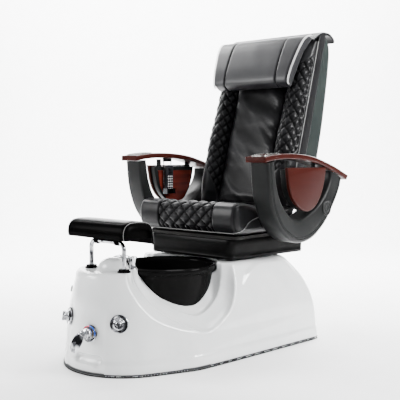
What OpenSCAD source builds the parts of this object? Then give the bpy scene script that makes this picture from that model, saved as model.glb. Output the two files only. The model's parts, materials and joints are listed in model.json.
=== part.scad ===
// Pedicure spa chair: a moulded tub with a foot bowl, a lift-up footrest and a
// sliding, reclining massage seat.  Millimetres, +Z up, the sitter faces -Y,
// origin on the floor under the centre of the foot bowl.

/* [Tub] */
// Height of the deck that carries the seat rails
deck_h = 392; // [380:1:400]
// Radius of the rounded nose at the floor
nose_r = 265; // [250:1:275]
// Half width of the tub at its rear corners
tub_half_w = 400; // [380:1:410]
// Distance from the bowl's centre back to the rear wall
tub_back = 610; // [590:1:630]
// Wall thickness of the moulding
wall = 6; // [5:0.5:8]

/* [Bowl] */
// Outer radius of the bowl's rolled lip
bowl_r = 218; // [210:1:222]
// Height of the bowl's lip
bowl_h = 384; // [378:1:388]

/* [Footrest] */
// Half the distance between the two lift posts
post_x = 97; // [85:1:105]
// Radius of the lift posts
post_r = 9; // [8:0.5:11]
// Half width of the footrest shell
footrest_half_w = 175; // [165:1:190]

/* [Seat] */
// Width of the seat cushion
seat_w = 600; // [590:1:620]
// Height of the seat cushion's top at the front roll
seat_top = 645; // [635:1:650]
// Height of the seat board's top face
board_top = 503; // [500:1:505]

/* [Back] */
// Width of the backrest
back_w = 530; // [500:1:540]
// Lean of the backrest from upright
back_lean = 17; // [12:1:20]
// Length of the backrest from the seat to its top
back_l = 800; // [760:1:810]

/* [Arms] */
// Distance from the middle of the chair to an arm's inner face
arm_in = 330; // [325:1:335]
// Thickness of an arm across the chair
arm_t = 97; // [85:1:100]

/* [Hidden] */

// Points on each plan outline of the tub
OUTLINE_N = 56;
// Heights of the plan outlines that the tub is lofted through
TUB_LEVELS = [15, 90, 170, 240, 300, 345, 375, deck_h];
// Recline hinge, on the seat frame
PIVOT = [0, 590, 560];
// Foot of the backrest's own frame
BACK_FOOT = [0, 540, 640];
// Arm hinge, under the round cap
ARM_PIVOT = [0, 618, 610];
// Nose: where its centre is at the floor, how far that moves forward and how far the
// radius draws in by the time the nose meets the deck
NOSE_Y = -235;
NOSE_SHIFT = 25;
NOSE_DRAW = 75;
// Mixer and knobs: how far round the nose from straight ahead, and height
MIXER = [11, 165];
JET_KNOB = [40, 208];
DRAIN_KNOB = [-26, 208];
AIR_KNOB = [-62, 290];
// Size of the air knob against the other two
AIR_SIZE = 0.7;
// How far the mixer lever hangs to one side
LEVER_TURN = 28;
// Footrest posts: their place front to back, and the height of their cross bar
POST_Y = -350;
BAR_Z = 510;
// Lower edge of the footrest
FOOTREST_BASE = 527;
// Middle of the drain pipe and of the water inlets at the rear wall
DRAIN_Z = 60;
INLET_X = 80;
INLET_Z = 90;
// Outer radius of the inlets' G1/2 thread
INLET_THREAD_R = 10.48;
// Sprayer's place on the tower, and the filler spout's
SPRAYER = [66, -274];
SPOUT = [-62, -270];
// Recline actuator: height of its rod, and half the back's swing
ROD_Z = 452;
HALF_SWING = 17.5;
SLOT_TOP = PIVOT[2] - ROD_Z - 8.5;
PIN_Y = PIVOT[1] + (PIVOT[2] - ROD_Z) * tan(HALF_SWING);
// Underside of the seat board
BOARD_BASE = 490.5;
// Slide actuator's axis
SLIDE_X = 92;
SLIDE_Z = 416;
// Radial clearance of a running fit
RUNNING_GAP = 0.06;

white = "white";
black = "#141416";
leather = "#1b1b1e";
satin = "#2c2e2e";
mahogany = "#5e1f14";
chrome = "silver";
steel = "#8a8d92";
grey = "#54575a";

// ---------- helpers ----------

// Smooth open curve through 2-D points (Catmull-Rom), n steps a span
function curve_at(a, b, c, d, t) =
    0.5 * (2 * b + (c - a) * t + (2 * a - 5 * b + 4 * c - d) * t * t
        + (3 * b - a - 3 * c + d) * t * t * t);
function smooth(p, n = 6) = concat(
    [for (i = [0 : len(p) - 2], k = [0 : n - 1])
        curve_at(p[max(i - 1, 0)], p[i], p[i + 1], p[min(i + 2, len(p) - 1)], k / n)],
    [p[len(p) - 1]]);

// Closed solid through equal rings of 3-D points, first ring lowest
module loft(rings) {
    n = len(rings[0]);
    m = len(rings);
    points = [for (r = rings, p = r) p];
    side = [for (k = [0 : m - 2], i = [0 : n - 1], h = [0, 1])
        h == 0
            ? [k * n + i, (k + 1) * n + (i + 1) % n, k * n + (i + 1) % n]
            : [k * n + i, (k + 1) * n + i, (k + 1) * n + (i + 1) % n]];
    base = [[for (i = [0 : n - 1]) i]];
    top = [[for (i = [n - 1 : -1 : 0]) (m - 1) * n + i]];
    polyhedron(points, concat(base, side, top), convexity = 6);
}

// Extrude a (Y, Z) outline along X from x0 by w
module slab_x(outline, x0, w) {
    translate([x0, 0, 0]) rotate([90, 0, 90]) linear_extrude(w) polygon(outline);
}

module rod_x(x0, x1, y, z, r) {
    translate([x0, y, z]) rotate([0, 90, 0]) cylinder(h = x1 - x0, r = r, $fn = 48);
}

module rod_y(y0, y1, x, z, r) {
    translate([x, y0, z]) rotate([-90, 0, 0]) cylinder(h = y1 - y0, r = r, $fn = 48);
}

module both_sides() {
    children();
    mirror([1, 0, 0]) children();
}

module rounded_box(size, r) {
    linear_extrude(size[2]) offset(r) square([size[0] - 2 * r, size[1] - 2 * r], center = true);
}

// ---------- tub ----------

// The convex plan outline at height z is the hull of these circles: [x, y, r]
function tub_s(z) = z / deck_h;
function tub_circles(z, inset) = let (
    s = tub_s(z),
    crown = pow(s, 2.8),
    ease = pow(s, 1.6),
    nr = nose_r - NOSE_DRAW * ease - inset,
    sr = nose_r + 3 - 60 * ease - inset,
    cr = 30 + 50 * s * s,
    cx = tub_half_w - 100 * crown - cr,
    cy = tub_back - 100 * crown - cr)
    [[0, NOSE_Y - NOSE_SHIFT * s, nr],
     [65 - 35 * s, -90, sr], [35 * s - 65, -90, sr],
     [cx, cy, cr - inset], [-cx, cy, cr - inset]];
// Outermost circle in a direction, then the outline point there
function reach(c, a) = c[0] * cos(a) + c[1] * sin(a) + c[2];
function outer_circle(cs, a) = let (
    best = max([for (c = cs) reach(c, a)]))
    [for (c = cs) if (reach(c, a) > best - 0.001) c][0];
function tub_ring(z, inset, at_z) = [for (i = [0 : OUTLINE_N - 1]) let (
    a = 360 * (i + 0.5) / OUTLINE_N,
    c = outer_circle(tub_circles(z, inset), a))
    [c[0] + c[2] * cos(a), c[1] + c[2] * sin(a), at_z]];
function tub_plan(z, inset) = [for (p = tub_ring(z, inset, 0)) [p[0], p[1]]];

// The side scoop: a funnel from a small mouth at the bowl to a wide one at the flank
function mouth_near(g) = [[-222 - g, 520], [-222 - g, 400], [-190 - g, 340 - g],
    [-90, 305 - g], [30 + g, 318 - g], [74 + g, 360 - g], [84 + g, 420], [90 + g, 520]];
function mouth_far(g) = [[-560 - g, 520], [-540 - g, 420], [-450 - g, 240 - g],
    [-250, 140 - g], [-30, 122 - g], [70 + g, 185 - g], [108 + g, 300], [112 + g, 420],
    [114 + g, 520]];

module scoop(g) {
    hull() {
        slab_x(smooth(mouth_near(g), 5), 40, 1);
        slab_x(smooth(mouth_far(g), 5), 352, 1);
    }
}

// The room for the bowl, with the ledge that its rim rests over
BOWL_SPACE = [[0, 60], [170, 60], [174, 118], [188, 160], [198, 220], [204, 300], [208, 352],
    [221, 358], [223, 500], [0, 500]];

module tub_cuts() {
    both_sides() scoop(2);
    rotate_extrude($fn = 96) polygon(BOWL_SPACE);
}

// Kept out of the shell's hollow, so that the scoops and the bowl's ledge have walls
module tub_linings() {
    both_sides() scoop(2 + wall);
    translate([0, 0, 352 - wall]) cylinder(h = 100, r = 223 + wall, $fn = 96);
}

module nose_hump() {
    difference() {
        translate([0, -330, deck_h]) scale([1, 0.9, 0.74]) sphere(r = 72, $fn = 48);
        translate([0, -330, deck_h - 100]) cylinder(h = 100, r = 200);
        rotate_extrude($fn = 96) polygon(BOWL_SPACE);
    }
}

module tub_shell() {
    color(white) {
        difference() {
            loft([for (z = TUB_LEVELS) tub_ring(z, 0, z)]);
            tub_cuts();
            difference() {
                loft([for (z = TUB_LEVELS) tub_ring(z, wall,
                    z == TUB_LEVELS[0] ? z - 1 : z - wall)]);
                tub_linings();
            }
            both_sides() translate([post_x, POST_Y, 300]) cylinder(h = 120, r = 17, $fn = 48);
            nose_holes();
            rod_y(tub_back - 50, tub_back + 30, 0, DRAIN_Z, 21);
            both_sides() rod_y(tub_back - 50, tub_back + 30, INLET_X, INLET_Z, 15);
        }
        nose_hump();
    }
}

// Distance from the bowl's axis to the nose in a direction, and the lean of the nose there
function nose_y(z) = NOSE_Y - NOSE_SHIFT * tub_s(z);
function nose_radius(z) = nose_r - NOSE_DRAW * pow(tub_s(z), 1.6);
function nose_reach(z, turn) = nose_radius(z) - nose_y(z) * cos(turn);
function nose_tilt(z, turn) = atan((nose_reach(z - 1, turn) - nose_reach(z + 1, turn)) / 2);

// Frame on the nose's face: +Z outward, turned round the nose from straight ahead
module on_nose(place, out) {
    turn = place[0];
    z = place[1];
    translate([0, nose_y(z), z]) rotate([0, 0, turn]) translate([0, -nose_radius(z), 0])
        rotate([90 - nose_tilt(z, turn), 0, 0]) translate([0, 0, out]) children();
}

module nose_holes() {
    on_nose(MIXER, -30) cylinder(h = 60, r = 19, $fn = 48);
    for (place = [JET_KNOB, DRAIN_KNOB, AIR_KNOB])
        on_nose(place, -30) cylinder(h = 60, r = 9, $fn = 48);
}

module base_trim() {
    color(grey) difference() {
        linear_extrude(15.5) offset(4) polygon(tub_plan(0, 0));
        translate([0, 0, -1]) linear_extrude(18) union() {
            polygon(tub_plan(0, 0));
            polygon(tub_plan(16, 0));
        }
    }
}

module floor_board() {
    color("#3b3b3b") difference() {
        linear_extrude(15) polygon(tub_plan(0, 0.5));
        translate([0, 0, 6]) linear_extrude(10) offset(-26) polygon(tub_plan(0, 0));
    }
}

// ---------- bowl and plumbing ----------

module bowl() {
    color(black) rotate_extrude($fn = 96) polygon(concat(
        [[24, 120], [150, 120], [170, 128], [183, 150], [195, 220], [201, 300], [205, 352]],
        [[214, 357], [bowl_r, 366], [bowl_r - 2, 377], [bowl_r - 9, bowl_h],
         [bowl_r - 18, bowl_h - 3], [bowl_r - 22, 372]],
        [[195, 350], [192, 300], [187, 222], [176, 158], [165, 140], [148, 132], [24, 128]]));
}

module bowl_drain() {
    color(chrome) difference() {
        union() {
            translate([0, 0, 128.5]) cylinder(h = 3.5, r = 38, $fn = 64);
            translate([0, 0, 84]) cylinder(h = 46, r = 23.9, $fn = 64);
        }
        translate([0, 0, 70]) cylinder(h = 80, r = 19, $fn = 64);
    }
}

module drain_pipe() {
    color("#d8d8d4") difference() {
        union() {
            translate([0, 0, 38]) cylinder(h = 50, r = 28, $fn = 64);
            rod_y(0, tub_back + 30, 0, DRAIN_Z, 20);
            rod_y(tub_back + 1, tub_back + 6, 0, DRAIN_Z, 26);
        }
        translate([0, 0, 58]) cylinder(h = 60, r = 24, $fn = 64);
        rod_y(0, tub_back + 50, 0, DRAIN_Z, 17);
    }
}

module jet_head() {
    color(chrome) translate([0, 181, 235]) rotate([90, 0, 0]) difference() {
        cylinder(h = 16, r = 42, $fn = 64);
        for (a = [0 : 45 : 315]) rotate([0, 0, a]) translate([26, 0, -1])
            cylinder(h = 20, r = 5, $fn = 32);
    }
}

module jet_motor() {
    color(grey) {
        rod_y(208, 330, 0, 235, 38);
        rod_y(330, 352, 0, 235, 20);
    }
}

module plate(place, thick, r, bore) {
    on_nose(place, 0.3) difference() {
        cylinder(h = thick, r = r, $fn = 64);
        translate([0, 0, -1]) cylinder(h = thick + 2, r = bore, $fn = 48);
    }
}

module control_plates() {
    color(chrome) {
        plate(MIXER, 5.2, 33, 22);
        plate(JET_KNOB, 3.7, 36, 8);
        plate(DRAIN_KNOB, 3.7, 36, 8);
        plate(AIR_KNOB, 3.7 * AIR_SIZE, 36 * AIR_SIZE, 8);
    }
}

// Half of the coloured temperature ring, from angle a
module mark_ring(a) {
    on_nose(MIXER, 5.5) rotate([0, 0, a]) difference() {
        cylinder(h = 1.2, r = 31, $fn = 64);
        translate([0, 0, -1]) cylinder(h = 4, r = 25, $fn = 64);
        translate([-40, -80, -1]) cube([80, 80, 4]);
        translate([0, -1, -1]) cube([80, 80, 4]);
    }
}

module hot_mark() {
    color("crimson") mark_ring(0);
}

module cold_mark() {
    color("royalblue") mark_ring(-90);
}

module mixer_body() {
    color("goldenrod") {
        on_nose(MIXER, -70) cylinder(h = 76, r = 17, $fn = 48);
        on_nose(MIXER, -52) rotate([0, 90, 0]) translate([0, 0, -30])
            cylinder(h = 60, r = 11, $fn = 48);
    }
}

module water_inlets() {
    color("goldenrod") both_sides() difference() {
        union() {
            rod_y(tub_back - 50, tub_back + 1, INLET_X, INLET_Z, 14);
            rod_y(tub_back + 1, tub_back + 5, INLET_X, INLET_Z, 18);
            rod_y(tub_back + 5, tub_back + 35, INLET_X, INLET_Z, INLET_THREAD_R);
        }
        rod_y(tub_back - 60, tub_back + 40, INLET_X, INLET_Z, 7.5);
    }
}

module filler_spout() {
    color(chrome) translate([SPOUT[0], SPOUT[1], deck_h]) {
        cylinder(h = 5, r = 17, $fn = 48);
        cylinder(h = 30, r = 11, $fn = 48);
        translate([0, 0, 30]) sphere(r = 11, $fn = 48);
        translate([0, 0, 30]) rotate([-98, 0, -14]) cylinder(h = 96, r = 9, $fn = 48);
    }
}

module sprayer_cradle() {
    color(chrome) translate([SPRAYER[0], SPRAYER[1], deck_h]) difference() {
        cylinder(h = 18, r = 17, $fn = 48);
        translate([0, 0, 4]) cylinder(h = 30, r = 13, $fn = 48);
    }
}

module sprayer() {
    color(chrome) translate([SPRAYER[0], SPRAYER[1], deck_h + 4.4]) {
        cylinder(h = 20, r = 12.6, $fn = 48);
        translate([0, 0, 20]) cylinder(h = 24, r1 = 12.6, r2 = 19, $fn = 48);
        translate([0, 0, 44]) cylinder(h = 5, r = 19, $fn = 48);
    }
}

module mixer_cap() {
    color(chrome) on_nose(MIXER, 8) {
        cylinder(h = 20, r = 22, $fn = 64);
        translate([0, 0, 20]) cylinder(h = 6, r1 = 22, r2 = 17, $fn = 64);
        rotate([0, 0, -LEVER_TURN]) {
            for (x = [-14, 10]) translate([x, -8, 24]) cube([4, 16, 22]);
            rod_x(-14, 14, 0, 38, 3);
        }
    }
}

module mixer_lever() {
    color(chrome) on_nose(MIXER, 46) rotate([0, 0, -LEVER_TURN]) difference() {
        union() {
            rod_x(-9.5, 9.5, 0, 0, 9);
            hull() {
                translate([0, -14, 4]) cylinder(h = 6, r = 9, $fn = 32);
                translate([0, -66, 10]) cylinder(h = 5, r = 8, $fn = 32);
            }
        }
        rod_x(-12, 12, 0, 0, 3 + RUNNING_GAP);
    }
}

module spa_knob(place, size = 1) {
    color(chrome) on_nose(place, 4.5) scale(size) {
        cylinder(h = 7, r = 24, $fn = 64);
        translate([0, 0, 7]) cylinder(h = 14, r1 = 19, r2 = 16, $fn = 64);
        translate([0, 0, -26]) cylinder(h = 26, r = 7, $fn = 48);
        translate([-3, -20, 7]) cube([6, 40, 18]);
    }
}

module jet_knob() {
    spa_knob(JET_KNOB);
}

module drain_knob() {
    spa_knob(DRAIN_KNOB);
}

module air_knob() {
    spa_knob(AIR_KNOB, AIR_SIZE);
}

module drain_stopper() {
    color(chrome) {
        translate([0, 0, 132.3]) cylinder(h = 5, r = 26, $fn = 64);
        translate([0, 0, 96]) cylinder(h = 38, r = 6, $fn = 48);
    }
}

// ---------- footrest ----------

module post_collars() {
    color(black) both_sides() translate([post_x, POST_Y, deck_h + 0.6]) difference() {
        cylinder(h = 14, r = 27, $fn = 64);
        translate([0, 0, -1]) cylinder(h = 20, r = post_r + RUNNING_GAP, $fn = 64);
    }
}

module post_sleeves() {
    color(steel) both_sides() translate([post_x, POST_Y, 232]) difference() {
        cylinder(h = 160.5, r = 15, $fn = 64);
        translate([0, 0, 6]) cylinder(h = 170, r = post_r + RUNNING_GAP, $fn = 64);
    }
}

module lift_frame() {
    color(chrome) {
        both_sides() translate([post_x, POST_Y, 242]) cylinder(h = BAR_Z - 242, r = post_r, $fn = 64);
        both_sides() translate([post_x, POST_Y, BAR_Z]) sphere(r = post_r, $fn = 64);
        rod_x(-post_x, post_x, POST_Y, BAR_Z, post_r);
    }
}

module footrest_shell() {
    top = [[-415, FOOTREST_BASE], [-419, 545], [-414, 572], [-398, 592], [-370, 598],
        [-310, 596], [-278, 588], [-261, 572], [-254, 548], [-252, FOOTREST_BASE]];
    inside = [for (p = smooth(top, 4)) [(p[0] + 336) * 0.92 - 336,
        p[1] == FOOTREST_BASE ? p[1] - 7 : (p[1] - FOOTREST_BASE) * 0.9 + FOOTREST_BASE - 1]];
    color(black) {
        difference() {
            slab_x(smooth(top, 4), -footrest_half_w, 2 * footrest_half_w);
            slab_x(inside, -footrest_half_w + 6, 2 * footrest_half_w - 12);
        }
        for (x = [-60, 60]) difference() {
            translate([x - 9, POST_Y - 14, BAR_Z - 14]) cube([18, 28, 97]);
            rod_x(x - 12, x + 12, POST_Y, BAR_Z, post_r + RUNNING_GAP);
        }
    }
}

// ---------- seat ----------

module slide_rails() {
    color(steel) both_sides() translate([150, 178, deck_h]) {
        cube([36, 332, 4]);
        translate([13, 0, 0]) cube([10, 332, 25.5]);
    }
}

module slide_motor() {
    color(grey) difference() {
        union() {
            rod_y(232, 400, SLIDE_X, SLIDE_Z, 17);
            translate([SLIDE_X - 22, 232, deck_h]) cube([44, 60, 44]);
        }
        rod_y(240, 410, SLIDE_X, SLIDE_Z, 8 + RUNNING_GAP);
    }
}

module slide_rod() {
    color(chrome) {
        rod_y(330, 505, SLIDE_X, SLIDE_Z, 8);
        translate([SLIDE_X - 12, 505, 404]) cube([24, 14, 70]);
    }
}

module slide_runners() {
    color(steel) both_sides() for (y = [262, 400]) translate([153, y, 409]) difference() {
        cube([30, 40, 27]);
        translate([9.5, -1, -1]) cube([11, 42, 10]);
    }
}

module rear_wall_band(gap, thick) {
    difference() {
        loft([for (z = TUB_LEVELS) tub_ring(z, -gap - thick, z)]);
        loft([for (z = TUB_LEVELS) tub_ring(z, -gap, z == TUB_LEVELS[0] ? z - 1 : z)]);
    }
}

module service_panel() {
    color(white) intersection() {
        rear_wall_band(0.2, 3);
        translate([-140, 400, 130]) cube([280, 300, 150]);
    }
}

module panel_screws() {
    color(steel) both_sides() for (screw = [[145, 6], [265, 20]])
        translate([125, tub_back - 100 * pow(tub_s(screw[0]), 2.8) + 2.4, screw[0]])
            rotate([screw[1] - 90, 0, 0]) cylinder(h = 3, r = 6, $fn = 32);
}

// Plan half widths of the skirt at its front and rear
function skirt_plan(g) = [[-232 + g, 142 + g], [232 - g, 142 + g], [302 - g, 622 - g],
    [-302 + g, 622 - g]];

module skirt_solid(g) {
    hull() {
        translate([0, 0, 400 - g]) linear_extrude(1) offset(8) offset(-8)
            polygon(skirt_plan(g));
        translate([0, 0, 487 + g]) linear_extrude(1) offset(8) offset(-8)
            polygon([for (p = skirt_plan(g)) [p[0] * 1.02, p[1]]]);
    }
}

module seat_skirt() {
    color(black) difference() {
        skirt_solid(0);
        skirt_solid(5);
        translate([-60, 600, 390]) cube([120, 40, 110]);
    }
}

module seat_frame() {
    color(steel) {
        both_sides() difference() {
            union() {
                translate([150, 160, 436]) cube([36, 420, 38]);
                translate([186, 540, 436]) cube([10, 40, 38]);
                translate([196, 540, 436]) cube([26, 76, 155]);
            }
            rod_x(190, 230, PIVOT[1], PIVOT[2], 12 + RUNNING_GAP);
        }
        // cross straps, welded to the skirt's sides
        for (y = [190, 500]) intersection() {
            translate([-320, y, 474]) cube([640, 36, 16]);
            skirt_solid(5);
        }
    }
}

module seat_board() {
    color(black) translate([0, 332, BOARD_BASE])
        rounded_box([560, 400, board_top - BOARD_BASE], 30);
}

module seat_cushion() {
    side = [[118, 530], [106, 560], [106, 600], [120, 632], [155, seat_top], [215, 640],
        [330, 622], [480, 612], [520, 606], [530, 575], [525, board_top],
        [200, board_top], [140, board_top + 2]];
    color(leather) slab_x(concat(smooth([for (i = [0 : 8]) side[i]], 4),
        [for (i = [9 : 12]) side[i]]), -seat_w / 2, seat_w);
}

module recline_actuator() {
    color(grey) difference() {
        union() {
            rod_y(240, 490, 0, ROD_Z, 18);
            translate([-26, 196, ROD_Z - 24]) cube([52, 50, 46]);
        }
        rod_y(250, 500, 0, ROD_Z, 10 + RUNNING_GAP);
    }
}

module arm_pivots() {
    color(steel) both_sides() {
        translate([222, 556, 492]) cube([85, 60, 12]);
        translate([295, 556, 504]) cube([12, 60, 60]);
        translate([295, 580, 560]) cube([12, 68, 76]);
        rod_x(307, arm_in + 60, ARM_PIVOT[1], ARM_PIVOT[2], 12);
    }
}

// ---------- back ----------

module in_back() {
    translate(BACK_FOOT) rotate([-back_lean, 0, 0]) children();
}

module recline_rod() {
    color(chrome) {
        rod_y(330, PIN_Y, 0, ROD_Z, 10);
        rod_x(-24, 24, PIN_Y, ROD_Z, 7);
    }
}

// The lever's slot is long enough for the pin to rise and fall as the lever swings
module back_frame() {
    color(steel) {
        both_sides() {
            rod_x(162, 192, PIVOT[1], PIVOT[2], 24);
            rod_x(150, 240, PIVOT[1], PIVOT[2], 12);
        }
        in_back() {
            both_sides() translate([164, 57, -62]) cube([26, 30, back_l - 8]);
            for (z = [60, back_l - 100]) translate([-180, 60, z]) cube([360, 24, 30]);
        }
        rod_x(-170, 170, PIVOT[1], PIVOT[2], 11);
        translate(PIVOT) rotate([HALF_SWING, 0, 0]) for (x = [-23, 12]) difference() {
            union() {
                rod_x(x, x + 11, 0, 0, 18);
                translate([x, -13, -130]) cube([11, 26, 130]);
            }
            translate([x - 1, -7.6, 0]) mirror([0, 0, 1])
                translate([0, 0, SLOT_TOP]) cube([13, 15.2, 22]);
        }
    }
}

// Depth of the back's rear face along its length
function back_rear() = smooth([[112, 30], [142, 52], [160, 110], [168, 200], [166, 420],
    [158, 600], [148, 720], [140, back_l], [118, back_l + 45], [92, back_l + 58]], 4);

module back_shell() {
    skin = back_rear();
    outer = concat([[20, back_l + 26], [20, -40]], skin);
    inner = concat([[-20, back_l + 4], [-20, -60], [90, -60]],
        [for (i = [0 : len(skin) - 1]) [skin[i][0] - 6, min(skin[i][1], back_l + 40)]]);
    color("#25292a") in_back() difference() {
        slab_x(outer, -back_w / 2, back_w);
        slab_x(inner, -back_w / 2 + 6, back_w - 12);
    }
}

module back_pad() {
    color(leather) in_back() slab_x(concat(
        smooth([[-14, -24], [-24, 80], [-26, 200], [-30, 330], [-26, 470], [-22, 620],
            [-18, 740], [-12, 790]], 4), [[12, 794], [12, -24]]), -150, 300);
}

module back_bolsters() {
    color(leather) in_back() both_sides() slab_x(concat(
        smooth([[-20, -20], [-60, 60], [-68, 170], [-76, 290], [-62, 420], [-56, 560],
            [-45, 700], [-22, 790]], 4), [[19, 798], [19, -30]]), 151, back_w / 2 - 151);
}

module head_pillow() {
    color(leather) in_back() slab_x(smooth([[-70, 560], [-98, 585], [-118, 640], [-120, 700],
        [-108, 760], [-80, 800], [-40, 812], [-24, 806], [-46, 768], [-60, 700], [-66, 600],
        [-66, 568]], 4), -235, 470);
}

module massage_rails() {
    color(steel) in_back() both_sides() translate([92, 64, 90]) cube([14, 22, back_l - 190]);
}

module massage_carriage() {
    color(grey) in_back() difference() {
        translate([-116, 36, 150]) cube([232, 66, 90]);
        for (x = [-108, 90]) translate([x, 60, 140]) cube([18, 30, 110]);
        rod_x(-56, 56, 54, 195, 28);
        rod_x(-70, 70, 54, 195, 6 + RUNNING_GAP);
    }
}

module kneading_rollers() {
    color("#c9b27c") in_back() {
        rod_x(-68, 68, 54, 195, 6);
        for (x = [-40, 40]) rod_x(x - 10, x + 10, 54, 195, 24);
    }
}

// ---------- arms ----------

ARM_OUTER = smooth([[158, 822], [173, 700], [213, 592], [283, 512], [385, 468], [500, 478],
    [608, 540], [690, 630], [737, 700], [750, 740]], 5);
ARM_INNER = smooth([[655, 792], [652, 745], [622, 690], [560, 632], [480, 592], [400, 568],
    [330, 588], [262, 650], [225, 730], [206, 834]], 5);
BOARD_TOP = smooth([[133, 848], [210, 857], [316, 861], [430, 855], [533, 840], [680, 800],
    [806, 755]], 5);
BOARD_BOTTOM = smooth([[790, 733], [660, 782], [533, 817], [430, 831], [316, 837], [210, 833],
    [133, 824]], 5);
PANEL = smooth([[300, 800], [325, 698], [380, 632], [459, 602], [530, 625], [580, 686],
    [602, 745], [612, 795]], 5);

module arm_shell() {
    color(satin) difference() {
        slab_x(concat(ARM_OUTER, ARM_INNER), arm_in, arm_t);
        rod_x(arm_in - 1, arm_in + 61, ARM_PIVOT[1], ARM_PIVOT[2], 12 + RUNNING_GAP);
        board_slab(5);
    }
}

module board_slab(grow) {
    slab_x(concat(BOARD_TOP, BOARD_BOTTOM), arm_in - grow, arm_t + 2 * grow);
}

module arm_board() {
    color(mahogany) board_slab(4);
}

// The shield stands inside the arm's opening and is screwed to the board by two struts
module arm_panel() {
    color(mahogany) slab_x(PANEL, arm_in + arm_t - 18, 18);
    color(satin) {
        slab_x([for (p = PANEL) [(p[0] - 455) * 0.93 + 455, (p[1] - 720) * 0.95 + 716]],
            arm_in + arm_t - 50, 31.5);
        difference() {
            for (y = [340, 548]) translate([arm_in + arm_t - 44, y, 780]) cube([12, 22, 48]);
            board_slab(5);
        }
    }
}

module arm_tray() {
    color("#c9c9c4") difference() {
        translate([arm_in + arm_t / 2, 205, 845]) rounded_box([arm_t - 22, 120, 22], 18);
        board_slab(5);
    }
}

module left_arm_shell() {
    arm_shell();
}

module left_arm_board() {
    arm_board();
}

module left_arm_panel() {
    arm_panel();
}

module left_arm_tray() {
    arm_tray();
}

module right_arm_shell() {
    mirror([1, 0, 0]) arm_shell();
}

module right_arm_board() {
    mirror([1, 0, 0]) arm_board();
}

module right_arm_panel() {
    mirror([1, 0, 0]) arm_panel();
}

module right_arm_tray() {
    mirror([1, 0, 0]) arm_tray();
}

module arm_cap() {
    color(satin) {
        rod_x(arm_in + arm_t, arm_in + arm_t + 3, ARM_PIVOT[1], ARM_PIVOT[2], 37);
        rod_x(arm_in + arm_t + 3, arm_in + arm_t + 5, ARM_PIVOT[1], ARM_PIVOT[2], 29);
    }
}

module left_arm_cap() {
    arm_cap();
}

module right_arm_cap() {
    mirror([1, 0, 0]) arm_cap();
}

// ---------- remote control, hung inside the right arm ----------

// A pocket on two wires under the right arm board; the handset lifts out of it
module remote_holder() {
    color(chrome) translate([-arm_in - 22, 388, 0]) {
        difference() {
            translate([-17, -30, 816]) cube([6.5, 60, 30]);
            translate([22 + arm_in, -388, 0]) mirror([1, 0, 0]) board_slab(5);
        }
        for (y = [-26, 26]) translate([-13, y, 664]) cylinder(h = 153, r = 2, $fn = 24);
        difference() {
            translate([-15, -30, 656]) cube([30, 60, 26]);
            translate([-10.5, -24.5, 660]) cube([21, 49, 30]);
        }
    }
}

module remote_handset() {
    color(black) translate([-arm_in - 22, 388, 660.3]) difference() {
        translate([-10, -24, 0]) cube([20, 48, 140]);
        translate([2, -13, 98]) cube([10, 26, 26]);
    }
}

module remote_button() {
    color(chrome) translate([-arm_in - 18, 375.5, 758.8]) cube([8, 25, 25]);
}

// ---------- output ----------

tub_shell();
base_trim();
floor_board();
bowl();
bowl_drain();
drain_pipe();
jet_head();
jet_motor();
control_plates();
hot_mark();
cold_mark();
mixer_body();
water_inlets();
post_collars();
post_sleeves();
filler_spout();
sprayer_cradle();
slide_rails();
slide_motor();
slide_rod();
service_panel();
panel_screws();
mixer_cap();
mixer_lever();
jet_knob();
drain_knob();
air_knob();
drain_stopper();
sprayer();
lift_frame();
footrest_shell();
seat_skirt();
seat_frame();
slide_runners();
seat_board();
seat_cushion();
recline_actuator();
arm_pivots();
recline_rod();
back_frame();
back_shell();
back_pad();
back_bolsters();
head_pillow();
massage_rails();
massage_carriage();
kneading_rollers();
left_arm_shell();
left_arm_board();
left_arm_panel();
left_arm_tray();
right_arm_shell();
right_arm_board();
right_arm_panel();
right_arm_tray();
left_arm_cap();
right_arm_cap();
remote_holder();
remote_handset();
remote_button();
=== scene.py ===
import itertools
import json
from math import cos, pi, radians, sin

import bmesh
import bpy
import numpy as np
from mathutils import Matrix, Vector


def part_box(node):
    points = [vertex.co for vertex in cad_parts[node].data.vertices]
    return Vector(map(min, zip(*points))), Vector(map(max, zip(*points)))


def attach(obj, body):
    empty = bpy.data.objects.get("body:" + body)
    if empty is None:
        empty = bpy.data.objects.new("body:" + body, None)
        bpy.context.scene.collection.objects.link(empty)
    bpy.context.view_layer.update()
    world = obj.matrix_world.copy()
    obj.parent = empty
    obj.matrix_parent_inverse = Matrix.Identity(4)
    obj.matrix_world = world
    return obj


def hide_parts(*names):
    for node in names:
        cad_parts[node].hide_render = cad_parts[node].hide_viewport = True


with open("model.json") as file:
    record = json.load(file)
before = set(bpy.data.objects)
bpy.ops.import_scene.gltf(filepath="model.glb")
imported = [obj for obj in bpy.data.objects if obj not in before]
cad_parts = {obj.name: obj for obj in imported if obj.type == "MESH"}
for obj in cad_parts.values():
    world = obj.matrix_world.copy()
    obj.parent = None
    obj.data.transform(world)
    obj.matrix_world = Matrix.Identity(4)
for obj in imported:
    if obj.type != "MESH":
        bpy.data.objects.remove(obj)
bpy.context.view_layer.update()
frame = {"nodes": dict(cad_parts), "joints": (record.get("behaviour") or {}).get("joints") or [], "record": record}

JOINTS = {joint["name"]: joint for joint in frame["joints"]}


# ---------- camera, floor and light ----------

FLOOR_AHEAD, SWEEP_R = 3.2, 1.6     # the floor runs this far back, then turns up
FLOOR_HALF = 9
BODY_MIDDLE = (0, 0.1, 0.6)


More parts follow.
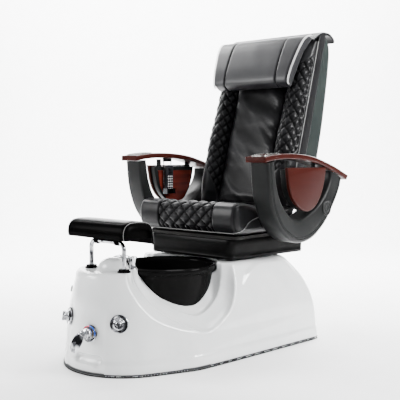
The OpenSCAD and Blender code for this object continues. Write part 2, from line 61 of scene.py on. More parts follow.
def set_stage():
    data = bpy.data.cameras.new("camera")
    data.lens, data.sensor_width = 68.95, 36
    camera = new_object("camera", data)
    camera.location = (2.298, -2.422, 0.883)
    camera.rotation_euler = (radians(90 - 3.853), 0, radians(41.02))
    bpy.context.scene.camera = camera

    # a pale floor that sweeps up behind the chair, square to the camera
    turn = camera.rotation_euler.z
    along = np.array((-sin(turn), cos(turn)))
    across = np.array((cos(turn), sin(turn)))
    sweep = [(-FLOOR_HALF, 0), (FLOOR_AHEAD, 0)]
    sweep += [(FLOOR_AHEAD + SWEEP_R * sin(a), SWEEP_R * (1 - cos(a)))
              for a in np.linspace(0.1, pi / 2, 14)]
    sweep += [(FLOOR_AHEAD + SWEEP_R, 7)]
    verts = [(*(d * along + w * across), z) for d, z in sweep for w in (-FLOOR_HALF, FLOOR_HALF)]
    faces = [(2 * k, 2 * k + 1, 2 * k + 3, 2 * k + 2) for k in range(len(sweep) - 1)]
    mesh = new_mesh("floor", verts, faces)
    for face in mesh.polygons:
        face.use_smooth = True
    floor = new_object("floor", mesh)
    mesh.materials.append(surface("studio_floor", grey(0.93), grey(0.95), 0.7, specular=0.1))

    world = bpy.data.worlds.new("studio")
    bpy.context.scene.world = world
    world.use_nodes = True
    tree = world.node_tree
    # dimmer towards the ground, so that chrome and gloss have something dark to mirror
    split = add_node(tree, "SeparateXYZ", Vector=add_node(tree, "TexCoord").outputs["Generated"])
    sky = two_tones(tree, split.outputs["Z"], (0, 0.55), (0.28, 0.28, 0.29), (0.97, 0.98, 1))
    feed(tree, tree.nodes["Background"], {"Color": sky, "Strength": 0.8})

    area_light("key", (-1.9, -2.6, 1.8), 1.5, 125, (0, 0.1, 0.7))
    area_light("side", (3.0, 1.3, 2.1), 1.2, 240, BODY_MIDDLE)
    area_light("top", (0.4, 0.5, 3.2), 1.4, 60, BODY_MIDDLE)
    area_light("rear", (-0.6, 2.9, 2.0), 1.2, 60, BODY_MIDDLE)
    for name, w in (("wall_left", -1.6), ("wall_right", 1.6)):
        place = (*(2.2 * along + w * across), 3.4)
        area_light(name, place, 2.0, 640, (*(4.6 * along + 0.5 * w * across), 0.9))


def area_light(name, place, size, power, target):
    data = bpy.data.lights.new(name, "AREA")
    data.shape, data.size, data.energy = "SQUARE", size, power
    lamp = new_object(name, data)
    lamp.location = place
    lamp.rotation_euler = (Vector(target) - Vector(place)).to_track_quat("-Z", "Y").to_euler()


# ---------- materials ----------

GRAIN_DEPTH = 0.0004
GROOVE_SHADE_BLACK = (0.0004, 0.0004, 0.0004, 1)


def grey(level):
    return (level, level, level)


def feed(tree, node, inputs):
    """Sets a node's named inputs to values, or links them to other nodes' outputs."""
    for name, value in inputs.items():
        if isinstance(value, bpy.types.NodeSocket):
            tree.links.new(value, node.inputs[name])
        else:
            node.inputs[name].default_value = value


def add_node(tree, kind, **inputs):
    """A new shader node; an input's name has _ for each space."""
    node = tree.nodes.new("ShaderNode" + kind)
    feed(tree, node, {name.replace("_", " "): value for name, value in inputs.items()})
    return node


def two_tones(tree, factor, contrast, dark, light):
    """A colour that runs from dark to light as the factor crosses the contrast."""
    ramp = add_node(tree, "ValToRGB", Fac=factor)
    for element, position, colour in zip(ramp.color_ramp.elements, contrast, (dark, light)):
        element.position = position
        element.color = (*colour, 1)
    return ramp.outputs["Color"]


def surface(name, dark, light, rough, swing=0.06, metallic=0.0, coat=0.0, tone=(9, 9, 9),
            contrast=(0.35, 0.65), specular=0.5, speckle=None, pebble=None):
    """A procedural material: two tones mixed by noise, uneven gloss, and a fine grain.

    speckle or pebble is the grain's (scale, strength). A pebbled one gets painted shade in its stitched grooves,
    where its colour goes towards black and its specular fades out.
    """
    material = bpy.data.materials.new(name)
    material.use_nodes = True
    tree = material.node_tree
    place = add_node(tree, "TexCoord").outputs["Object"]
    stretch = add_node(tree, "Mapping", Scale=tone, Vector=place)
    noise = add_node(tree, "TexNoise", Scale=1, Detail=6, Vector=stretch.outputs["Vector"])
    colour = two_tones(tree, noise.outputs["Fac"], contrast, dark, light)
    # painted shade: the mesh's groove attribute mixes the colour towards black in the stitched grooves and takes
    # the specular away there
    if pebble:
        groove_shade_node = add_node(tree, "Attribute")
        groove_shade_node.attribute_name = "groove"
        groove = groove_shade_node.outputs["Fac"]
        shade = add_node(tree, "Mix")
        shade.data_type = "RGBA"
        feed(tree, shade, {"Factor": groove, "A": colour, "B": GROOVE_SHADE_BLACK})
        colour = shade.outputs["Result"]
        sheen = add_node(tree, "MapRange", To_Min=specular, To_Max=0.0, Value=groove)
        specular = sheen.outputs["Result"]
    wear = add_node(tree, "TexNoise", Scale=35, Detail=4, Vector=place)
    gloss = add_node(tree, "MapRange", To_Min=rough - swing, To_Max=rough + swing,
                     Value=wear.outputs["Fac"])
    shader = tree.nodes["Principled BSDF"]
    feed(tree, shader, {"Base Color": colour, "Roughness": gloss.outputs["Result"],
                        "Metallic": metallic, "Coat Weight": coat, "Coat Roughness": 0.05,
                        "Specular IOR Level": specular})
    if speckle or pebble:
        scale, strength = speckle or pebble
        texture = add_node(tree, "TexNoise" if speckle else "TexVoronoi", Scale=scale, Vector=place)
        relief = add_node(tree, "Bump", Strength=strength, Distance=GRAIN_DEPTH,
                          Height=texture.outputs[0])
        feed(tree, shader, {"Normal": relief.outputs["Normal"]})
    return material


def make_materials():
    """One material for each slot, and a few that slots share out among their pieces."""
    wood = dict(tone=(55, 4, 55), contrast=(0.3, 0.72))
    return {
        "white_shell": surface("gelcoat", (0.72, 0.735, 0.735), (0.78, 0.79, 0.785), 0.2, 0.03,
                               coat=0.5, speckle=(60, 0.04)),
        "edge_trim": surface("trim_rubber", (0.018, 0.019, 0.02), (0.036, 0.038, 0.04), 0.5,
                             speckle=(1500, 0.2), specular=0.12),
        "floor_pan": surface("floor_pan", grey(0.09), grey(0.14), 0.7, speckle=(400, 0.3)),
        "bowl_black": surface("bowl_gloss", grey(0.003), grey(0.005), 0.1, 0.03,
                              speckle=(40, 0.03), specular=0.03),
        # painted reflections: the chrome's colour runs in patches from near black to bright, standing in for what
        # it mirrors
        "chrome_parts": surface("chrome", (0.04, 0.04, 0.045), (0.68, 0.69, 0.71), 0.09, 0.04, 1.0,
                                tone=(32, 32, 20), contrast=(0.42, 0.56), speckle=(900, 0.02)),
        "pipe_white": surface("pipe_plastic", (0.72, 0.72, 0.7), (0.82, 0.82, 0.8), 0.4,
                              speckle=(700, 0.1)),
        "motor_grey": surface("motor_paint", (0.16, 0.17, 0.18), (0.24, 0.25, 0.26), 0.45, 0.08,
                              0.3, speckle=(600, 0.25)),
        "brass_parts": surface("brass", (0.5, 0.34, 0.13), (0.72, 0.55, 0.24), 0.3, 0.08, 1.0,
                               speckle=(500, 0.1)),
        "hot_red": surface("hot_enamel", (0.6, 0.01, 0.05), (0.78, 0.03, 0.1), 0.2, coat=0.5),
        "cold_blue": surface("cold_enamel", (0.02, 0.08, 0.45), (0.04, 0.16, 0.68), 0.2, coat=0.5),
        "frame_steel": surface("black_steel", (0.03, 0.03, 0.033), (0.06, 0.06, 0.065), 0.45, 0.1,
                               0.4, speckle=(500, 0.3)),
        "zinc_steel": surface("zinc_steel", (0.42, 0.43, 0.44), (0.62, 0.63, 0.64), 0.32, 0.1, 1.0,
                              tone=(200, 12, 200), speckle=(300, 0.1)),
        "footrest_black": surface("footrest_gloss", grey(0.001), grey(0.002), 0.2, 0.04,
                                  speckle=(900, 0.06), specular=0.006),
        "skirt_black": surface("skirt_gloss", grey(0.0015), grey(0.003), 0.3, 0.04,
                               speckle=(900, 0.02), specular=0.06),
        "plywood": surface("stained_plywood", grey(0.006), (0.014, 0.013, 0.012), 0.6,
                           tone=(6, 60, 90), speckle=(500, 0.3), specular=0.1),
        "black_leather": surface("leather", (0.004, 0.004, 0.0045), (0.009, 0.009, 0.01), 0.33,
                                 0.05, pebble=(650, 0.2), specular=0.16),
        # painted light: the same leather as black_leather, painted brighter and given more specular for the
        # pillow, which faces the light
        "pillow_leather_painted_lit": surface("pillow_leather_painted_lit", (0.009, 0.009, 0.0105), (0.016, 0.016, 0.018),
                                  0.37, 0.05, pebble=(650, 0.15), specular=0.36),
        "piping_grey": surface("piping_grey", grey(0.07), (0.13, 0.13, 0.125), 0.45,
                               speckle=(900, 0.2)),
        "piping_white": surface("piping_white", grey(0.5), (0.7, 0.7, 0.69), 0.35,
                                speckle=(900, 0.2)),
        "back_cover": surface("back_gloss", (0.017, 0.022, 0.021), (0.021, 0.027, 0.025), 0.26,
                              0.02, speckle=(80, 0.02), specular=0.13),
        "arm_satin": surface("arm_plastic", (0.005, 0.0055, 0.0055), (0.009, 0.0095, 0.0095),
                             0.36, 0.05, speckle=(1400, 0.2), specular=0.13),
        "mahogany": surface("mahogany", (0.026, 0.004, 0.0026), (0.032, 0.005, 0.0032), 0.28,
                            0.01, speckle=(300, 0.004), specular=0.1, **wood),
        # painted light: the same mahogany painted about four times brighter, for the inlay on the arm's inner side
        "mahogany_painted_lit": surface("mahogany_painted_lit", (0.07, 0.008, 0.005), (0.14, 0.018, 0.01),
                                   0.4, 0.05, specular=0.08, **wood),
        "tray_silver": surface("tray_metal", grey(0.02), (0.18, 0.18, 0.17), 0.3, 0.06, 1.0,
                               tone=(120, 120, 120), contrast=(0.4, 0.6)),
        "roller_rubber": surface("roller_rubber", (0.25, 0.2, 0.12), (0.4, 0.34, 0.22), 0.6,
                                 speckle=(500, 0.3)),
        "handset_black": surface("handset_plastic", (0.008, 0.008, 0.01), (0.016, 0.016, 0.02),
                                 0.3, speckle=(1200, 0.2), specular=0.2),
    }


# ---------- mesh helpers: a shape is (verts, faces) ----------

def new_mesh(name, verts, faces):
    mesh = bpy.data.meshes.new(name)
    mesh.from_pydata([tuple(map(float, v)) for v in verts], [], faces)
    return mesh


def new_object(name, data):
    obj = bpy.data.objects.new(name, data)
    bpy.context.scene.collection.objects.link(obj)
    return obj


def piece(name, shape, body, slot, *stands_for, sharp=35, groove=None):
    """A piece of the visual model, in the frame's own coordinates."""
    mesh = new_mesh(name, *shape)
    if groove is not None:
        shade = mesh.attributes.new("groove", "FLOAT", "POINT")
        shade.data.foreach_set("value", np.ravel(groove).astype(np.float32))
    mesh.validate()
    work = bmesh.new()
    work.from_mesh(mesh)
    bmesh.ops.remove_doubles(work, verts=work.verts, dist=1e-6)
    bmesh.ops.recalc_face_normals(work, faces=work.faces)
    for face in work.faces:
        face.smooth = True
    for edge in work.edges:
        if len(edge.link_faces) == 2 and edge.calc_face_angle() > radians(sharp):
            edge.smooth = False
    work.to_mesh(mesh)
    work.free()
    obj = new_object(name, mesh)
    mesh.materials.append(MATERIALS[slot])
    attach(obj, body)
    if stands_for:
        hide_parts(*stands_for)
    return obj


def join(*shapes):
    """One shape from several."""
    verts, faces = [], []
    for more_verts, more_faces in shapes:
        faces += [tuple(i + len(verts) for i in face) for face in more_faces]
        verts += [tuple(v) for v in more_verts]
    return verts, faces


def turns(count):
    """Angles evenly spaced round a full turn."""
    return np.linspace(0, 2 * pi, count, endpoint=False)


def arc(x, y, r, start, end, count):
    """Points on a circle from one angle to another, in degrees."""
    return [(x + r * cos(a), y + r * sin(a)) for a in np.radians(np.linspace(start, end, count))]


def placed(place, points):
    return [place @ Vector(p) for p in points]


def loft(rings, closed=False):
    """Quads through equal closed rings of points; the ends are capped unless closed."""
    count, size = len(rings), len(rings[0])
    verts = [p for ring in rings for p in ring]
    faces = []
    for k in range(count if closed else count - 1):
        a, b = k * size, (k + 1) % count * size
        faces += [(a + i, a + (i + 1) % size, b + (i + 1) % size, b + i) for i in range(size)]
    if not closed:
        faces += [tuple(range(size))[::-1], tuple(range((count - 1) * size, count * size))]
    return verts, faces


def lathe(profile, place=Matrix(), steps=64):
    """A turned shape from (radius, height) points, put in place by a matrix."""
    verts, faces, size = [], [], len(profile)
    for k in range(steps):
        turn = 2 * pi * k / steps
        verts += placed(place, [(r * cos(turn), r * sin(turn), z) for r, z in profile])
        a, b = k * size, (k + 1) % steps * size
        faces += [(a + i, b + i, b + i + 1, a + i + 1) for i in range(size - 1)]
    return verts, faces


def round_corner(a, b, c, cut, steps):
    """Points round the corner b of the line a, b, c."""
    start, end = (b + (p - b) / np.linalg.norm(p - b) * cut for p in (a, c))
    return [(1 - t) ** 2 * start + 2 * t * (1 - t) * b + t * t * end
            for t in np.linspace(0, 1, steps + 1)]


def turned(points, place=Matrix(), r=0.001):
    """A turned shape from an open (radius, height) profile, its corners rounded."""
    points = [np.array(p, float) for p in points]
    profile = [points[0]]
    for a, b, c in zip(points[:-2], points[1:-1], points[2:]):
        cut = min(r, np.linalg.norm(a - b) / 2.1, np.linalg.norm(c - b) / 2.1)
        profile += round_corner(a, b, c, cut, 3)
    return lathe(profile + [points[-1]], place)


def tube(path, radius, closed=False, sides=8):
    """A round tube along a path."""
    path = np.array([tuple(p) for p in path], float)
    if closed:
        ahead, behind = np.roll(path, -1, 0), np.roll(path, 1, 0)
    else:
        ahead = np.vstack([path[1:], path[-1:]])
        behind = np.vstack([path[:1], path[:-1]])
    along = ahead - behind
    along /= np.linalg.norm(along, axis=1)[:, None] + 1e-12
    side = np.cross(along[0], (0.31, 0.52, 0.79))
    rings = []
    for point, t in zip(path, along):
        side = side - t * np.dot(side, t)
        side /= np.linalg.norm(side)
        up = np.cross(t, side)
        rings.append([point + radius * (cos(a) * side + sin(a) * up) for a in turns(sides)])
    return loft(rings, closed)


def curve(points, steps=6, closed=False):
    """Catmull-Rom curve through the points."""
    p = [np.array(q, float) for q in points]
    n = len(p)
    out = []
    for i in range(n if closed else n - 1):
        if closed:
            a, b, c, d = (p[(i + k) % n] for k in (-1, 0, 1, 2))
        else:
            a, b, c, d = p[max(i - 1, 0)], p[i], p[i + 1], p[min(i + 2, n - 1)]
        for t in np.arange(steps) / steps:
            out.append(0.5 * (2 * b + (c - a) * t + (2 * a - 5 * b + 4 * c - d) * t * t
                              + (3 * b - a - 3 * c + d) * t ** 3))
    if not closed:
        out.append(p[-1])
    return np.array(out)


def even(points, count, closed=False):
    """The same line, at evenly spaced points."""
    p = np.array(points, float)
    if closed:
        p = np.vstack([p, p[:1]])
    length = np.r_[0, np.cumsum(np.linalg.norm(np.diff(p, axis=0), axis=1))]
    at = np.linspace(0, length[-1], count, endpoint=not closed)
    return np.stack([np.interp(at, length, p[:, k]) for k in range(p.shape[1])], 1)


def smooth_loop(points, steps, count):
    """A closed curve through the points, evenly spaced."""
    return even(curve(points, steps, closed=True), count, closed=True)


def inset(outline, d):
    """A closed 2-D outline moved inwards by d."""
    p = np.array(outline, float)
    along = np.roll(p, -1, 0) - np.roll(p, 1, 0)
    along /= np.linalg.norm(along, axis=1)[:, None] + 1e-12
    area = np.sum(p[:, 0] * np.roll(p[:, 1], -1) - p[:, 1] * np.roll(p[:, 0], -1))
    inward = np.stack([-along[:, 1], along[:, 0]], 1) * np.sign(area)
    return p + inward * d


def slab(outline, x0, x1, r=0.004, steps=4):
    """A (Y, Z) outline extruded along X, with its two rims rounded."""
    rim = [(x0 + r * (1 - cos(a)), r * (1 - sin(a))) for a in np.linspace(0, pi / 2, steps + 1)]
    rings = rim + [(x0 + x1 - x, d) for x, d in reversed(rim)]
    return loft([[(x, y, z) for y, z in inset(outline, d)] for x, d in rings])


def smax(a, b, r):
    """The larger of two fields, blended over r."""
    h = np.clip(0.5 + 0.5 * (a - b) / r, 0, 1)
    return b * (1 - h) + a * h + r * h * (1 - h) * 0.5


def smin(a, b, r):
    return -smax(-a, -b, r)


def step_up(x, start, end):
    """Smooth step from 0 at start to 1 at end."""
    t = np.clip((x - start) / (end - start), 0, 1)
    return t * t * (3 - 2 * t)


def surface_net(field, low, high, step):
    """The surface where the field is zero, as quads."""
    axes = [np.arange(a, b + step, step) for a, b in zip(low, high)]
    value = field(*np.meshgrid(*axes, indexing="ij"))
    inside = value < 0
    shape = tuple(n - 1 for n in value.shape)

    def part(array, corner):
        return array[tuple(slice(o, o + n) for o, n in zip(corner, shape))]

    total = np.zeros(shape + (3,))
    hits = np.zeros(shape)
    for axis in range(3):
        for other in itertools.product((0, 1), (0, 1)):
            start = list(other)
            start.insert(axis, 0)
            end = list(start)
            end[axis] = 1
            a, b = part(value, start), part(value, end)
            cross = part(inside, start) != part(inside, end)
            t = np.where(cross, a / np.where(cross, a - b, 1), 0)
            for k in range(3):
                total[..., k] += cross * (start[k] + (t if k == axis else 0))
            hits += cross
    used = hits > 0
    index = np.full(shape, -1)
    index[used] = np.arange(used.sum())
    verts = np.array(low) + step * (np.argwhere(used) + total[used] / hits[used][:, None])
    faces = []
    for axis in range(3):
        u, v = (axis + 1) % 3, (axis + 2) % 3
        trim = [slice(1, -1)] * 3
        trim[axis] = slice(0, -1)
        ahead = list(trim)
        ahead[axis] = slice(1, None)
        here, there = inside[tuple(trim)], inside[tuple(ahead)]
        for turned_over in (False, True):
            at = np.argwhere((here != there) & (here == turned_over))
            at[:, u] += 1
            at[:, v] += 1
            corners = []
            for du, dv in ((0, 0), (-1, 0), (-1, -1), (0, -1)):
                q = at.copy()
                q[:, u] += du
                q[:, v] += dv
                corners.append(index[q[:, 0], q[:, 1], q[:, 2]])
            if turned_over:
                corners.reverse()
            faces += np.stack(corners, 1).tolist()
    return verts, faces


def joint_place(name):
    """A joint's own frame: +Z along its axis, +X level."""
    joint = JOINTS[name]
    z = Vector(joint["axis"]).normalized()
    x = Vector((0, 0, 1)).cross(z).normalized()
    place = Matrix((x, z.cross(x), z)).transposed().to_4x4()
    place.translation = Vector(joint["pos_m"])
    return place


def foot_of(node):
    """A placement at the middle of a node's underside."""
    low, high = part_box(node)
    return Matrix.Translation(((low.x + high.x) / 2, (low.y + high.y) / 2, low.z))


# ---------- tub ----------

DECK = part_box("slide_rails")[0].z
TUB_LOW, TUB_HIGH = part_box("tub_shell")
HALF_W = TUB_HIGH.x
TUB_BACK = TUB_HIGH.y
NOSE_Y = -0.235
NOSE_R = NOSE_Y - TUB_LOW.y
NOSE_SHIFT, NOSE_DRAW = 0.025, 0.075
TUB_FOOT = 0.004
COLLAR_R = 0.027
POST_LOW, POST_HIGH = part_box("post_collars")
POST_X, POST_Y = POST_HIGH.x - COLLAR_R, (POST_LOW.y + POST_HIGH.y) / 2


def tub_plan(x, y, z):
    """Distance outside the tub's plan outline at height z, measured level."""
    s = np.clip(z / DECK, 0, 1.1)
    crown, ease = s ** 2.8, s ** 1.6
    corner = 0.03 + 0.05 * s * s
    circles = [
        (0, NOSE_Y - NOSE_SHIFT * s, NOSE_R - NOSE_DRAW * ease),
        (0.065 - 0.035 * s, -0.09, NOSE_R + 0.003 - 0.06 * ease),
        (HALF_W - 0.1 * crown - corner, TUB_BACK - 0.1 * crown - corner, corner)]
    best = np.full(np.broadcast(x, y, z).shape, -1.0, np.float32)
    for a in np.radians(np.arange(-90, 90.1, 0.9)):
        c, n = cos(a), sin(a)
        reach = np.max([cx * c + cy * n + r for cx, cy, r in circles], axis=0)
        np.maximum(best, np.abs(x) * c + y * n - reach, out=best)
    return best


# the lower edge of the scoops in side view: near the middle, and at the tub's two sides
MOUTH_NEAR = curve([(-0.222, 0.62), (-0.222, 0.4), (-0.19, 0.34), (-0.09, 0.305), (0.03, 0.318),
                    (0.074, 0.36), (0.084, 0.42), (0.09, 0.62)])
MOUTH_LEFT = curve([(-0.73, 0.62), (-0.71, 0.42), (-0.62, 0.28), (-0.43, 0.152), (-0.19, 0.116),
                    (-0.04, 0.152), (0.085, 0.272), (0.144, 0.62)])
MOUTH_RIGHT = curve([(-0.56, 0.62), (-0.54, 0.42), (-0.45, 0.24), (-0.25, 0.14), (-0.03, 0.122),
                     (0.07, 0.185), (0.108, 0.3), (0.114, 0.62)])
NEAR_X, SIDE_X = 0.04, 0.352
# the line over the rear haunch, where the shoulder steps in
HAUNCH = curve([(0.13, 0.24), (0.153, 0.303), (0.198, 0.349), (0.262, 0.377), (0.337, 0.386),
                (0.418, 0.376), (0.472, 0.35), (0.492, 0.3), (0.496, 0.25)], 4)


def outline_distance(y, z, line):
    """Signed distance to an open (Y, Z) line, negative above it."""
    best = np.full(np.broadcast(y, z).shape, 9.0)
    sign = np.ones(best.shape)
    for (y0, z0), (y1, z1) in zip(line[:-1], line[1:]):
        dy, dz = y1 - y0, z1 - z0
        t = np.clip(((y - y0) * dy + (z - z0) * dz) / (dy * dy + dz * dz), 0, 1)
        gap = np.hypot(y - y0 - t * dy, z - z0 - t * dz)
        side = dy * (z - z0) - dz * (y - y0)
        closer = gap < best
        best = np.where(closer, gap, best)
        sign = np.where(closer, np.where(side > 0, -1, 1), sign)
    return best * sign


def scoop(x, y, z):
    """Negative inside the side scoops that lay the bowl open."""
    out = np.empty(x.shape)
    for k, across in enumerate(x[:, 0, 0]):
        t = (abs(across) - NEAR_X) / (SIDE_X - NEAR_X)
        line = MOUTH_NEAR * (1 - t) + (MOUTH_LEFT if across > 0 else MOUTH_RIGHT) * t
        out[k] = outline_distance(y[k], z[k], line)
    # each scoop's floor is two shallow hollows with a ridge between them
    ledge = 0.012 + 0.036 * step_up(y, -0.2, -0.06)
    gap = np.hypot(x, y) - 0.2
    inner = np.clip(gap / ledge, 0, 1)
    outer = np.clip((gap - ledge) / 0.1, 0, 1)
    hollow = 0.012 * np.sin(pi * inner) + 0.02 * np.sin(pi * outer)
    return out - hollow * step_up(np.abs(x), 0.03, 0.12)


def tub_field(x, y, z):
    """Negative inside the tub's moulding."""
    side = tub_plan(x, y, z)
    rise = -outline_distance(y[0], z[0], HAUNCH)
    haunch = (step_up(z[0], 0.25, 0.34) * step_up(y[0], 0.11, 0.2)
              * (1 - step_up(y[0], 0.49, 0.56)))
    shoulder = 0.007 * step_up(rise, -0.002, 0.009)
    side += (shoulder + 0.003 * np.exp(-(rise / 0.006) ** 2)) * haunch
    # a low skirting stands a little proud, and the nose has a shallow panel for the mixer
    side += 0.004 * step_up(z, 0.05, 0.062) * (1 - step_up(z, 0.09, 0.2))
    turn = np.degrees(np.arctan2(x, NOSE_Y - y))
    panel = (step_up(turn, -27, -22) * (1 - step_up(turn, 22, 27)) * (1 - step_up(z, 0.22, 0.3))
             * (y < NOSE_Y))
    side += 0.004 * panel
    # a toe recess low on the nose, a short slot with round ends
    toe = np.hypot(np.maximum(np.abs(turn - 7) - 11, 0) * 0.0045, z - 0.06)
    recess = np.hypot(toe, np.minimum(side, 0)) - 0.02
    side = np.where(y < NOSE_Y, smax(side, -recess, 0.002), side)
    body = smax(side, z - DECK, 0.03)
    # a mound at the front, between the footrest's posts
    mound = np.sqrt((x / 0.07) ** 2 + ((y + 0.318) / 0.062) ** 2 + ((z - DECK) / 0.05) ** 2) - 1
    body = smin(body, mound * 0.05, 0.03)
    body = smax(body, -scoop(x, y, z), 0.006)
    # the corners that carry the footrest's posts stay whole
    corner = np.hypot(np.abs(x) - POST_X, y - POST_Y) - 0.031
    body = smin(body, np.maximum(corner, z - DECK), 0.012)
    # the bowl's wall covers the edge of its hole, up to the ledge under its rim
    wall = np.interp(z, (0.118, 0.128, 0.15, 0.22, 0.3, 0.345, 0.352, 0.358),
                     (0.142, 0.162, 0.176, 0.188, 0.1935, 0.1965, 0.208, 0.2215))
    body = np.maximum(body, -np.maximum(np.hypot(x, y) - wall, 0.06 - z))
    return np.maximum(body, TUB_FOOT - z)


def make_tub():
    verts, faces = surface_net(tub_field, (-0.42, -0.52, 0.0), (0.42, 0.63, 0.47),
                               0.0055)
    verts[:, 2] = np.where(verts[:, 2] < TUB_FOOT + 0.003, TUB_FOOT, verts[:, 2])
    tub = piece("tub", (verts, faces), "base", "white_shell", "tub_shell", sharp=50)
    smooth = tub.modifiers.new("smooth", "SMOOTH")
    smooth.factor, smooth.iterations = 0.5, 2


def make_trim():
    """The dark strip round the tub's foot: two thin lips with the tub showing between."""
    middle = 0.05
    foot = []
    for a in np.linspace(-pi, pi, 160, endpoint=False):
        near, far = 0.1, 0.9
        for _ in range(22):
            reach = (near + far) / 2
            spot = np.array((reach * cos(a), middle + reach * sin(a), 0.0))
            if tub_plan(*spot[:, None]) < 0:
                near = reach
            else:
                far = reach
        foot.append((near * cos(a), middle + near * sin(a)))
    section = [(-0.004, 0.0), (0.0035, 0.0), (0.004, 0.001), (0.004, 0.003), (0.003, 0.0038),
               (-0.002, 0.0042), (-0.002, 0.0082), (0.003, 0.0085), (0.0036, 0.0092),
               (0.0036, 0.0112), (0.0028, 0.012), (-0.004, 0.012)]
    rings = [[(*p, z) for p in inset(foot, -out)] for out, z in section]
    piece("base_strip", loft(rings, closed=True), "base", "edge_trim", "base_trim")


def make_bowl():
    outside = [(0.024, 0.12), (0.148, 0.12), (0.168, 0.127), (0.178, 0.14), (0.185, 0.16),
               (0.192, 0.2), (0.197, 0.25), (0.201, 0.3), (0.205, 0.352)]
    lip = [(0.208, 0.356), (0.214, 0.359), (0.2172, 0.364), (0.218, 0.371), (0.2165, 0.378),
           (0.212, 0.3828), (0.206, 0.384), (0.2, 0.3812), (0.1965, 0.375), (0.195, 0.366)]
    inside = [(0.1935, 0.34), (0.1915, 0.3), (0.1885, 0.25), (0.1835, 0.2), (0.176, 0.165),
              (0.168, 0.145), (0.157, 0.135), (0.14, 0.1305), (0.06, 0.129), (0.04, 0.1262),
              (0.024, 0.1262)]
    profile = even(curve(outside + lip + inside, 4), 110)
    profile[0], profile[-1] = outside[0], inside[-1]
    foot_bowl = lathe([*map(tuple, profile), outside[0]], steps=128)
    piece("foot_bowl", foot_bowl, "base", "bowl_black", "bowl")


# ---------- controls and fittings ----------

ESCUTCHEON = [(0.0085, 0.0035), (0.0085, -0.003), (0.036, -0.003), (0.036, 0.0028),
              (0.0335, 0.0046), (0.0315, 0.0036), (0.0265, 0.0022), (0.0085, 0.0035)]
MIXER_RING = [(0.0225, 0.005), (0.0225, -0.0035), (0.034, -0.0035), (0.034, 0.004),
              (0.032, 0.0055), (0.0225, 0.0055)]
KNOB = [(0, 0.0255), (0.009, 0.0255), (0.0105, 0.0238), (0.0155, 0.0238), (0.018, 0.022),
        (0.0188, 0.012), (0.0235, 0.0108), (0.024, 0.0048), (0.0075, 0.0048), (0.007, -0.02),
        (0, -0.02)]
MARK = [(0.0262, 0), (0.0312, 0), (0.0312, 0.0066), (0.03, 0.0072), (0.0274, 0.0072),
        (0.0262, 0.0066)]


def make_controls():
    plates = []
    for knob, size in (("jet_knob", 1), ("drain_knob", 1), ("air_knob", 0.7)):
        place = joint_place(knob + "_turn") @ Matrix.Scale(size, 4)
        plates.append(turned(ESCUTCHEON, place))
        grip = [(0.0035 * cos(a) * (1 + 0.35 * cos(2 * a)), 0.019 * sin(a)) for a in turns(32)]
        bar = loft([placed(place, [(x * w, y * w, z) for x, y in grip])
                    for z, w in ((0.02, 1), (0.0285, 1), (0.0298, 0.93), (0.0303, 0.75))])
        shape = join(turned(KNOB, place, 0.0015), bar)
        piece(knob + "_chrome", shape, knob, "chrome_parts", knob)
    place = joint_place("mixer_turn")
    plates.append(turned(MIXER_RING, place))
    piece("escutcheons", join(*plates), "base", "chrome_parts", "control_plates")
    # red from the left to the top, blue from the top to the right
    for name, slot, start, end in (("hot", "hot_red", 92, 178), ("cold", "cold_blue", -16, 88)):
        rings = [placed(place, [(r * cos(a), r * sin(a), z) for r, z in MARK])
                 for a in np.radians(np.linspace(start, end, 26))]
        piece(name + "_arc", loft(rings), "base", slot, name + "_mark")


def make_mixer():
    place = joint_place("mixer_turn")
    cap = turned([(0, 0.0335), (0.012, 0.0335), (0.0185, 0.031), (0.0215, 0.026),
                  (0.022, 0.0125), (0.0215, 0.0082), (0, 0.0082)], place, 0.002)
    lean = place @ Matrix.Rotation(radians(-28), 4, "Z")
    pin_z = 0.046
    outline = arc(0, pin_z, 0.008, 0, 180, 12) + [(-0.008, 0.028), (0.008, 0.028)]
    lugs = [loft([placed(lean, [(x + w, y, z) for y, z in outline]) for w in (-0.002, 0.002)])
            for x in (-0.012, 0.012)]
    pin = tube(placed(lean, [(x, 0, pin_z) for x in (-0.014, 0.014)]), 0.003, sides=20)
    piece("mixer_dome", join(cap, *lugs, pin), "mixer_cap", "chrome_parts", "mixer_cap")

    # a leaf-shaped lever, dished along its length
    widest = 0.45
    rings = []
    for t in np.linspace(0, 1, 22):
        if t < widest:
            half = 0.0115 + 0.0115 * sin(pi / 2 * t / widest)
        else:
            half = 0.022 * (1 - ((t - widest) / (1 - widest)) ** 2.2) ** 0.5 + 0.001
        mid = 0.0495 + 0.004 * sin(pi * t) + 0.006 * t
        thick = 0.0045 - 0.0022 * t
        dish = [0.0014 * (1 - abs(cos(a))) * (sin(a) > 0) for a in turns(28)]
        rings.append(placed(lean, [(half * cos(a), 0.008 - 0.09 * t, mid + thick * sin(a) - sunk)
                                   for a, sunk in zip(turns(28), dish)]))
    hub = tube(placed(lean, [(x, 0, pin_z) for x in (-0.0095, -0.009, 0.009, 0.0095)]), 0.0088,
               sides=32)
    piece("mixer_leaf", join(loft(rings), hub), "mixer_lever", "chrome_parts", "mixer_lever")


